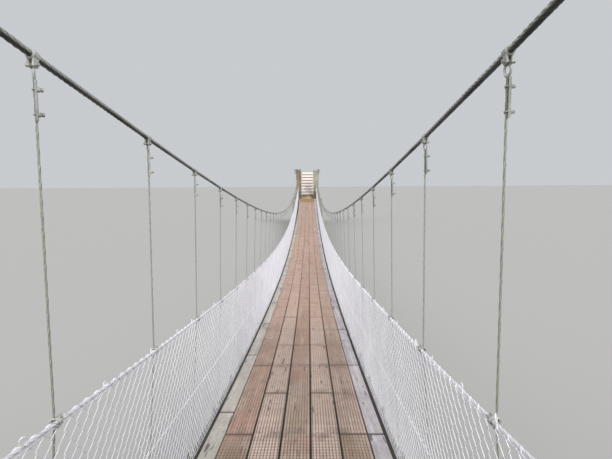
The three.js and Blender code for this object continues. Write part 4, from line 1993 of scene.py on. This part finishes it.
    def tongues(self) -> Piece:
        """Makes the loose tongues that close the gaps between the rows and beside the edge boards: dark strips of
        painted shade for the gaps.

        Returns:
            The tongues, level.
        """
        gaps = [self.row_x(index + 1) - gap / 2 for index, gap in enumerate(self.gaps)]
        gaps += [side * (self.boards_half + self.edge[0]) / 2 for side in (-1, 1)]
        pattern = self.plank(-self.tongue_width / 2, self.tongue_width / 2, -LINE.deck_reach, LINE.deck_reach)
        bottom, top = self.tongue_height
        thin = (top - bottom) / LINE.board_thick
        pattern.data.transform(shift(0, 0, top) @ Matrix.Diagonal((1, 1, thin, 1)))
        made = [add_tone(copy_of(pattern, shift(x, 0, 0)), self.tongue_tone) for x in gaps]
        discard(pattern)
        return merge(made, "deck_tongues")

    def build(self) -> None:
        """Makes boards, edge boards, tongues, fillet strips, nails and the welded mesh; the tongues and fillet strips
        are dark painted shade.
        """
        chance = random.Random(SEED)
        bend = self.bend()
        solids = [f"deck_boards_{i}" for i in range(1, 9)]
        hand_over(smooth(bend.shape(self.planks(chance))), "boards", FINISHES.boards, *solids)
        for side, moved in zip(Side, self.edge_shift):
            joints = [LINE.joist_y(i) + moved for i in range(1, LINE.bays, self.bays_per_edge)]
            edging = self.row(*sorted(side * x for x in self.edge), joints, chance)
            edging = bend.shape(merge(edging, f"edge_planks_{side.label}"))
            hand_over(smooth(edging), "boards", FINISHES.edges[side], *solids)
        hand_over(bend.shape(self.tongues()), "boards", FINISHES.shade_fillets, *solids)
        # Near-black fillet strips beside the edge boards: painted shade next to the netting.
        shade_fillets = timbers("deck_shade_fillets", strips(self.fillet, self.fillet_height), chance, self.fillet_rounding)
        hand_over(smooth(bend.shape(shade_fillets)), "boards", FINISHES.shade_fillets, *solids)
        hand_over(smooth(bend.shape(self.nails())), "boards", FINISHES.mesh)
        hand_over(bend.shape(self.welded_mesh()), "net", FINISHES.mesh)
        discard(bend.lattice)


@dataclass
class DeckFrame:
    """Crossbeams on the hangers, the stringers and joists between them, and the netting's foot strips."""

    half_length: float = 0.735
    depth: float = 0.1
    rounding: float = 0.005
    play: float = 0.0003
    stringer: Pair = (0.565, 0.615)
    stringer_depth: float = 0.06
    stringer_drop: float = 0.02
    joist_half: Pair = (0.56, 0.035)
    joist_depth: float = 0.045
    foot_strip: Pair = (0.650, 0.712)
    foot_strip_height: Pair = (-0.052, -0.042)
    foot_strip_gap: float = 0.001
    foot_strip_rounding: float = 0.0015
    foot_strip_tone: float = 0.3
    timber_rounding: float = 0.003

    def beams(self, chance: random.Random) -> Piece:
        """Makes the crossbeams.

        Args:
            chance: Source of their tones.

        Returns:
            The crossbeams.
        """
        half = LINE.beam_half_width
        pattern = block((-self.half_length, -half, -self.depth), (self.half_length, half, 0), self.rounding)
        made = []
        for y in map(LINE.bay_y, range(LINE.bays + 1)):
            beam = copy_of(pattern, shift(0, y, LINE.beam_top(y) - self.play))
            made.append(add_tone(beam, chance.random()))
        discard(pattern)
        return merge(made, "crossbeams")

    def build(self) -> None:
        """Makes crossbeams, stringers, joists and foot strips."""
        under = -LINE.board_thick - self.stringer_drop
        top = -LINE.board_thick - self.play
        x, half = self.joist_half
        joists = [((-x, y - half, top - self.joist_depth), (x, y + half, top))
                  for y in map(LINE.joist_y, range(LINE.bays))]
        foot_strips = strips(self.foot_strip, self.foot_strip_height, LINE.beam_half_width + self.foot_strip_gap)
        stringers = strips(self.stringer, (under - self.stringer_depth, under))
        kinds = (
            ("stringers", stringers, self.timber_rounding, 1.0, FINISHES.stringers),
            ("joists", joists, self.timber_rounding, 1.0, FINISHES.beams),
            ("foot_strips", foot_strips, self.foot_strip_rounding, self.foot_strip_tone, FINISHES.stringers),
        )
        chance = random.Random(SEED + 2)
        bend = Deck().bend()
        made = [(bend.shape(timbers(name, boxes, chance, bevel, tone)), finish)
                for name, boxes, bevel, tone, finish in kinds]
        discard(bend.lattice)
        for piece, finish in ((self.beams(chance), FINISHES.beams), *made):
            hand_over(smooth(piece), "beam", finish, *(f"deck_frame_{i}" for i in range(1, 9)))


def softened(node: str, name: str, bevel: float, rounds: int = 2) -> Piece:
    """Takes a plain solid's shape and rounds its edges.

    Args:
        node: The plain solid.
        name: Name of the new piece.
        bevel: Width of the rounding.
        rounds: Steps in the rounding.

    Returns:
        The new piece.
    """
    piece = bpy.data.objects.new(name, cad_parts[node].data.copy())
    bpy.context.scene.collection.objects.link(piece)
    with editing(piece):
        bpy.ops.mesh.remove_doubles(threshold=1e-5)
        bpy.ops.mesh.dissolve_limited(angle_limit=math.radians(1))
        bpy.ops.mesh.normals_make_consistent(inside=False)
    soft = piece.modifiers.new("rounding", "BEVEL")
    soft.width = bevel
    soft.segments = rounds
    soft.limit_method = "ANGLE"
    soft.angle_limit = math.radians(SHARP_ANGLE)
    return apply_all(piece)


@dataclass
class Tower:
    """A post with its cap and saddle on one side of one end."""

    end: End
    side: Side
    rounding: float = 0.008
    cap_rounding: tuple[float, int] = (0.014, 3)
    weathering: tuple[Pair, ...] = ((0.045, -0.006), (0.07, -0.005))
    drip: tuple[Pair, ...] = ((0.02, 0.0), (0.008, -0.008), (0.008, 0.008))
    cheeks: Pair = (0.017, 0.025)
    cheek_half: float = 0.11
    cheek_height: Pair = (-0.05, 0.012)
    cheek_rounding: float = 0.003
    bolt: Pair = (0.006, 0.034)
    bolts_at: float = 0.075
    bolt_height: float = 0.004
    nut: Triple = (0.011, 0.008, 0.0015)

    @property
    def label(self) -> str:
        """Names the tower's place."""
        return f"{self.end.label}_{self.side.label}"

    def post(self) -> Piece:
        """Makes the post, with its saddle bracket or slot."""
        return softened(f"tower_post_{self.label}", f"post_{self.label}", bevel=self.rounding)

    def cap(self) -> Piece:
        """Makes the cap: a slab with a drip groove below and a weathered top.

        Returns:
            The cap.
        """
        slab = settle(block(*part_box(f"tower_cap_{self.label}"), *self.cap_rounding), f"cap_{self.label}")
        for way, insets in ((1, self.weathering), (-1, self.drip)):
            with editing(slab, wanted=lambda face: way * face.normal.z > 0.999):
                for thickness, depth in insets:
                    bpy.ops.mesh.inset(thickness=thickness, depth=depth)
        return slab

    def saddle(self) -> Piece:
        """Makes the steel cheeks and bolts that keep the cable on its saddle.

        Returns:
            The fittings.
        """
        y = self.end * TOWER.tower_y
        x = self.side * LINE.cable_x(y)
        z = TOWER.crest
        parts = []
        for way in (-1, 1):
            x0, x1 = sorted(x + way * reach for reach in self.cheeks)
            low = (x0, y - self.cheek_half, z + self.cheek_height[0])
            parts.append(block(low, (x1, y + self.cheek_half, z + self.cheek_height[1]), bevel=self.cheek_rounding))
        for along_y in (-self.bolts_at, self.bolts_at):
            radius, half = self.bolt
            ends = [Vector((x + way * half, y + along_y, z + self.bolt_height)) for way in (-1, 1)]
            parts.append(rod(radius, *ends, sides=8))
            radius, thick, rim = self.nut
            parts += [rod(radius, tip, tip + Vector((way * thick, 0, 0)), rim=rim) for way, tip in zip((1, -1), ends)]
        return merge(parts, f"saddle_{self.label}")

    def build(self) -> None:
        """Makes post, cap and saddle."""
        hand_over(smooth(self.post()), "post", FINISHES.posts[self.side], f"tower_post_{self.label}")
        hand_over(smooth(self.cap()), "cap", FINISHES.cap, f"tower_cap_{self.label}")
        hand_over(smooth(self.saddle()), "cable", FINISHES.fittings)


@dataclass
class Abutment:
    """The cast mass at one end with its plinths, in lifts as it was poured."""

    end: End
    half_width: float = 1.1
    lifts: int = 5
    rounding: float = 0.009
    ledge_drop: float = 0.1
    lap: float = 0.02
    play: float = 0.0003
    top_rounding: float = 0.006
    plinth: Pair = (0.45, 0.82)
    plinth_place: Pair = (17.2, 17.6)
    plinth_rounding: float = 0.012
    step_y: float = 17.195

    def span(self, y0: float, y1: float) -> list[float]:
        """Turns a range along the far end into this end's range."""
        return sorted((self.end * y0, self.end * y1))

    def build(self) -> None:
        """Makes the mass and the two plinths."""
        label = self.end.label
        node = f"abutment_{label}"
        low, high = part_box(node)
        front, back = sorted((abs(low.y), abs(high.y)))
        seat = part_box(f"landing_{label}")[0].z
        half = self.half_width
        ledge = LINE.beam_top(LINE.half_span) - self.ledge_drop
        height = ledge / self.lifts
        y0, y1 = self.span(front, back)
        parts = [block((-half, y0, i * height), (half, y1, (i + 1) * height), self.rounding) for i in range(self.lifts)]
        y0, y1 = self.span(self.step_y, back)
        parts.append(block((-half, y0, ledge - self.lap), (half, y1, seat - self.play), self.top_rounding))
        hand_over(smooth(merge(parts, f"abutment_mass_{label}")), "concrete", FINISHES.concrete, node)
        y0, y1 = self.span(*self.plinth_place)
        plinths = []
        for side in (-1, 1):
            x0, x1 = sorted(side * x for x in self.plinth)
            plinths.append(block((x0, y0, seat - self.lap), (x1, y1, high.z), self.plinth_rounding))
        hand_over(smooth(merge(plinths, f"plinths_{label}")), "concrete", FINISHES.plinth, node)


@dataclass
class Stair:
    """The flight of steps at one end, with the short boarded landing at its foot."""

    end: End
    steps: int = 9
    riser: float = 0.22
    going: float = 0.25
    half_width: float = 0.44
    front: float = 17.505
    tread: float = 0.155
    nosing: float = 0.010
    recess: float = 0.045
    side_recess: float = 0.006
    body_drop: float = 0.005
    rounding: float = 0.007
    body_rounding: float = 0.005
    step_lap: float = 0.04
    tread_lap: float = 0.02
    boards: int = 3
    board_gap: float = 0.002
    board_rounding: float = 0.003

    def step(self, y0: float, y1: float, z0: float, z1: float) -> Piece:
        """Makes one step from its front to its back, both as at the far end, and from its underside to its top."""
        front, back = sorted((self.end * y0, self.end * y1))
        return block((-self.half_width, front, z0), (self.half_width, back, z1), self.rounding)

    def body(self, base: float, back: float) -> Piece:
        """Makes the body under the steps: the stair's own shape, set back and down.

        Args:
            base: Height of the stair's foot.
            back: Place of its back, as at the far end.

        Returns:
            The body.
        """
        body = softened(f"stair_{self.end.label}", f"stair_body_{self.end.label}", bevel=self.body_rounding)
        narrow = Matrix.Diagonal((1 - self.side_recess / self.half_width, 1.0, 1.0, 1.0))
        body.data.transform(shift(0, self.end * self.recess, self.body_drop - self.tread) @ narrow)
        for place, way in (((0, 0, base), (0, 0, -1)), ((0, self.end * back, 0), (0, self.end, 0))):
            with editing(body):
                bpy.ops.mesh.bisect(plane_co=place, plane_no=way, use_fill=True, clear_outer=True)
        return body

    def landing(self) -> Piece:
        """Makes the landing's boards.

        Returns:
            The boards.
        """
        low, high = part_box(f"landing_{self.end.label}")
        places = [low.y + (high.y - low.y) * i / self.boards for i in range(self.boards + 1)]
        chance = random.Random(SEED + 5)
        boards = []
        for y0, y1 in zip(places, places[1:]):
            corners = (low.x, y0 + self.board_gap, low.z), (high.x, y1 - self.board_gap, high.z)
            boards.append(add_tone(block(*corners, self.board_rounding), chance.random()))
        return merge(boards, f"landing_boards_{self.end.label}")

    def build(self) -> None:
        """Makes the steps, the body below them and the landing."""
        label = self.end.label
        solid = f"stair_{label}"
        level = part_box(f"landing_{label}")[1].z
        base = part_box(solid)[0].z
        back = self.front + self.steps * self.going
        first = self.step(self.front, self.front + self.going + self.step_lap, base, level + self.riser)
        treads = []
        for i in range(1, self.steps):
            y = self.front + i * self.going
            top = level + (i + 1) * self.riser
            stop = min(y + self.going + self.recess + self.tread_lap, back)
            treads.append(self.step(y - self.nosing, stop, top - self.tread, top))
        landing = self.landing()
        hand_over(smooth(settle(first, f"stair_foot_{label}")), "steps", FINISHES.first_step, solid)
        hand_over(smooth(merge(treads, f"stair_treads_{label}")), "steps", FINISHES.treads, solid)
        hand_over(smooth(self.body(base, back)), "steps", FINISHES.risers_dirt_and_shade, solid)
        hand_over(smooth(landing), "boards", FINISHES.landing, f"landing_{label}")


@dataclass
class Anchor:
    """The block that holds one backstay, with its plate, socket and clips."""

    end: End
    side: Side
    rounding: float = 0.012
    clip_heights: tuple[float, ...] = (0.30, 0.42, 0.54)
    tail: tuple[float, float, float, int, float] = (0.011, 0.24, 0.60, 8, 0.002)
    tail_at: Pair = (0.0, 0.022)

    def fittings(self) -> Piece:
        """Makes what holds the backstay, round a rope that leaves the block up +Z.

        Returns:
            Plate, socket, clips and the rope's turned-back tail.
        """
        clip = Clip(bar=(0.07, 0.032, 0.03), bow=0.022, wire=0.006, nut=0.012, nut_height=0.012).build()
        clips = [copy_of(clip, shift(0, 0, height)) for height in self.clip_heights]
        discard(clip)
        end = EndPlate(
            half=(0.09, 0.09), faces=(0.0005, 0.014), rounding=(0.003, 2), bolts_at=(0.065, 0.065),
            bolt=(0.012, 0.012, 0.002), foot=0.014, socket=(0.032, 0.17), collar=(0.045, 0.04), sides=16, rim=0.006,
        )
        return merge([*clips, end.plate(), end.holder(), pin(*self.tail, at=self.tail_at)], "fittings")

    def build(self) -> None:
        """Makes the block and its fittings."""
        label = f"{self.end.label}_{self.side.label}"
        solid = f"anchor_block_{label}"
        stone = softened(solid, f"anchor_{label}", bevel=self.rounding)
        hand_over(smooth(stone), "concrete", FINISHES.concrete, solid)
        y, z = TOWER.anchor
        foot = Vector((self.side * LINE.cable_x(self.end * y), self.end * y, z))
        up = Vector((0, -self.end * math.cos(TOWER.backstay), math.sin(TOWER.backstay)))
        fittings = self.fittings()
        fittings.data.transform(along(foot, up))
        hand_over(smooth(settle(fittings, f"anchor_fittings_{label}")), "cable", FINISHES.fittings)


@dataclass
class Studio:
    """Camera at the photo's angle, pale floor and soft light."""

    place: Triple = (0.0986, -17.3747, 3.4832)
    pitch: float = 0.1089
    yaw: float = 0.0063
    roll: float = -0.0055
    focal_pixels: float = 460.0
    width_pixels: float = 612.0
    sensor: float = 36.0
    clip: Pair = (0.02, 600.0)
    floor_size: float = 400.0
    floor_drop: float = 0.001
    floor_tone: float = 0.36
    floor_rough: float = 0.9
    sky: Colour = (0.93, 0.96, 1.0)
    sky_strength: float = 0.62
    sun: Colour = (1.0, 0.97, 0.92)
    lamps: tuple[tuple[str, float, float, float, float], ...] = (
        ("key", 2.6, 30.0, 50.0, 38.0), ("fill", 1.8, 40.0, 58.0, -50.0),
    )

    def camera(self) -> None:
        """Sets the camera."""
        data = bpy.data.cameras.new("camera")
        data.sensor_width = self.sensor
        data.lens = self.sensor * self.focal_pixels / self.width_pixels
        data.clip_start, data.clip_end = self.clip
        camera = bpy.data.objects.new("camera", data)
        facing = turn(self.yaw, "Z") @ turn(QUARTER - self.pitch, "X") @ turn(self.roll, "Z")
        camera.matrix_world = shift(*self.place) @ facing
        bpy.context.scene.collection.objects.link(camera)
        bpy.context.scene.camera = camera

    def light(self) -> None:
        """Adds the soft light from above and all round; a lamp has its energy, spread, tilt and heading."""
        world = bpy.data.worlds.new("studio")
        world.use_nodes = True
        sky = world.node_tree.nodes["Background"]
        sky.inputs["Color"].default_value = (*self.sky, 1.0)
        sky.inputs["Strength"].default_value = self.sky_strength
        bpy.context.scene.world = world
        bpy.context.scene.view_settings.view_transform = "Standard"
        for name, energy, spread, tilt, heading in self.lamps:
            bpy.ops.object.light_add(type="SUN", location=(0, 0, 30))
            lamp = bpy.context.object
            lamp.name = name
            lamp.data.energy = energy
            lamp.data.angle = math.radians(spread)
            lamp.data.color = self.sun
            lamp.rotation_euler = (math.radians(tilt), 0.0, math.radians(heading))

    def floor(self) -> None:
        """Adds the plain pale floor."""
        floor = primitive(bpy.ops.mesh.primitive_plane_add, size=self.floor_size, location=(0, 0, -self.floor_drop))
        floor.name = floor.data.name = "floor"
        surface = Surface("floor", specular=0.2)
        surface.shader.inputs["Base Color"].default_value = (*(self.floor_tone,) * 3, 1.0)
        surface.shader.inputs["Roughness"].default_value = self.floor_rough
        floor.data.materials.append(surface.material)

    def build(self) -> None:
        """Sets up the studio."""
        self.camera()
        self.light()
        self.floor()


def main() -> None:
    """Builds the bridge's looks piece by piece."""
    logging.basicConfig(level=logging.INFO, format="%(message)s")
    Studio().build()
    parts = [Deck(), DeckFrame()]
    for side in Side:
        parts += [MainCable(side), Handrail(side), Hangers(side), Netting(side)]
    for end in End:
        parts += [Abutment(end), Stair(end)]
        for side in Side:
            parts += [Tower(end, side), Anchor(end, side)]
    for part in parts:
        part.build()


if __name__ == "__main__":
    main()
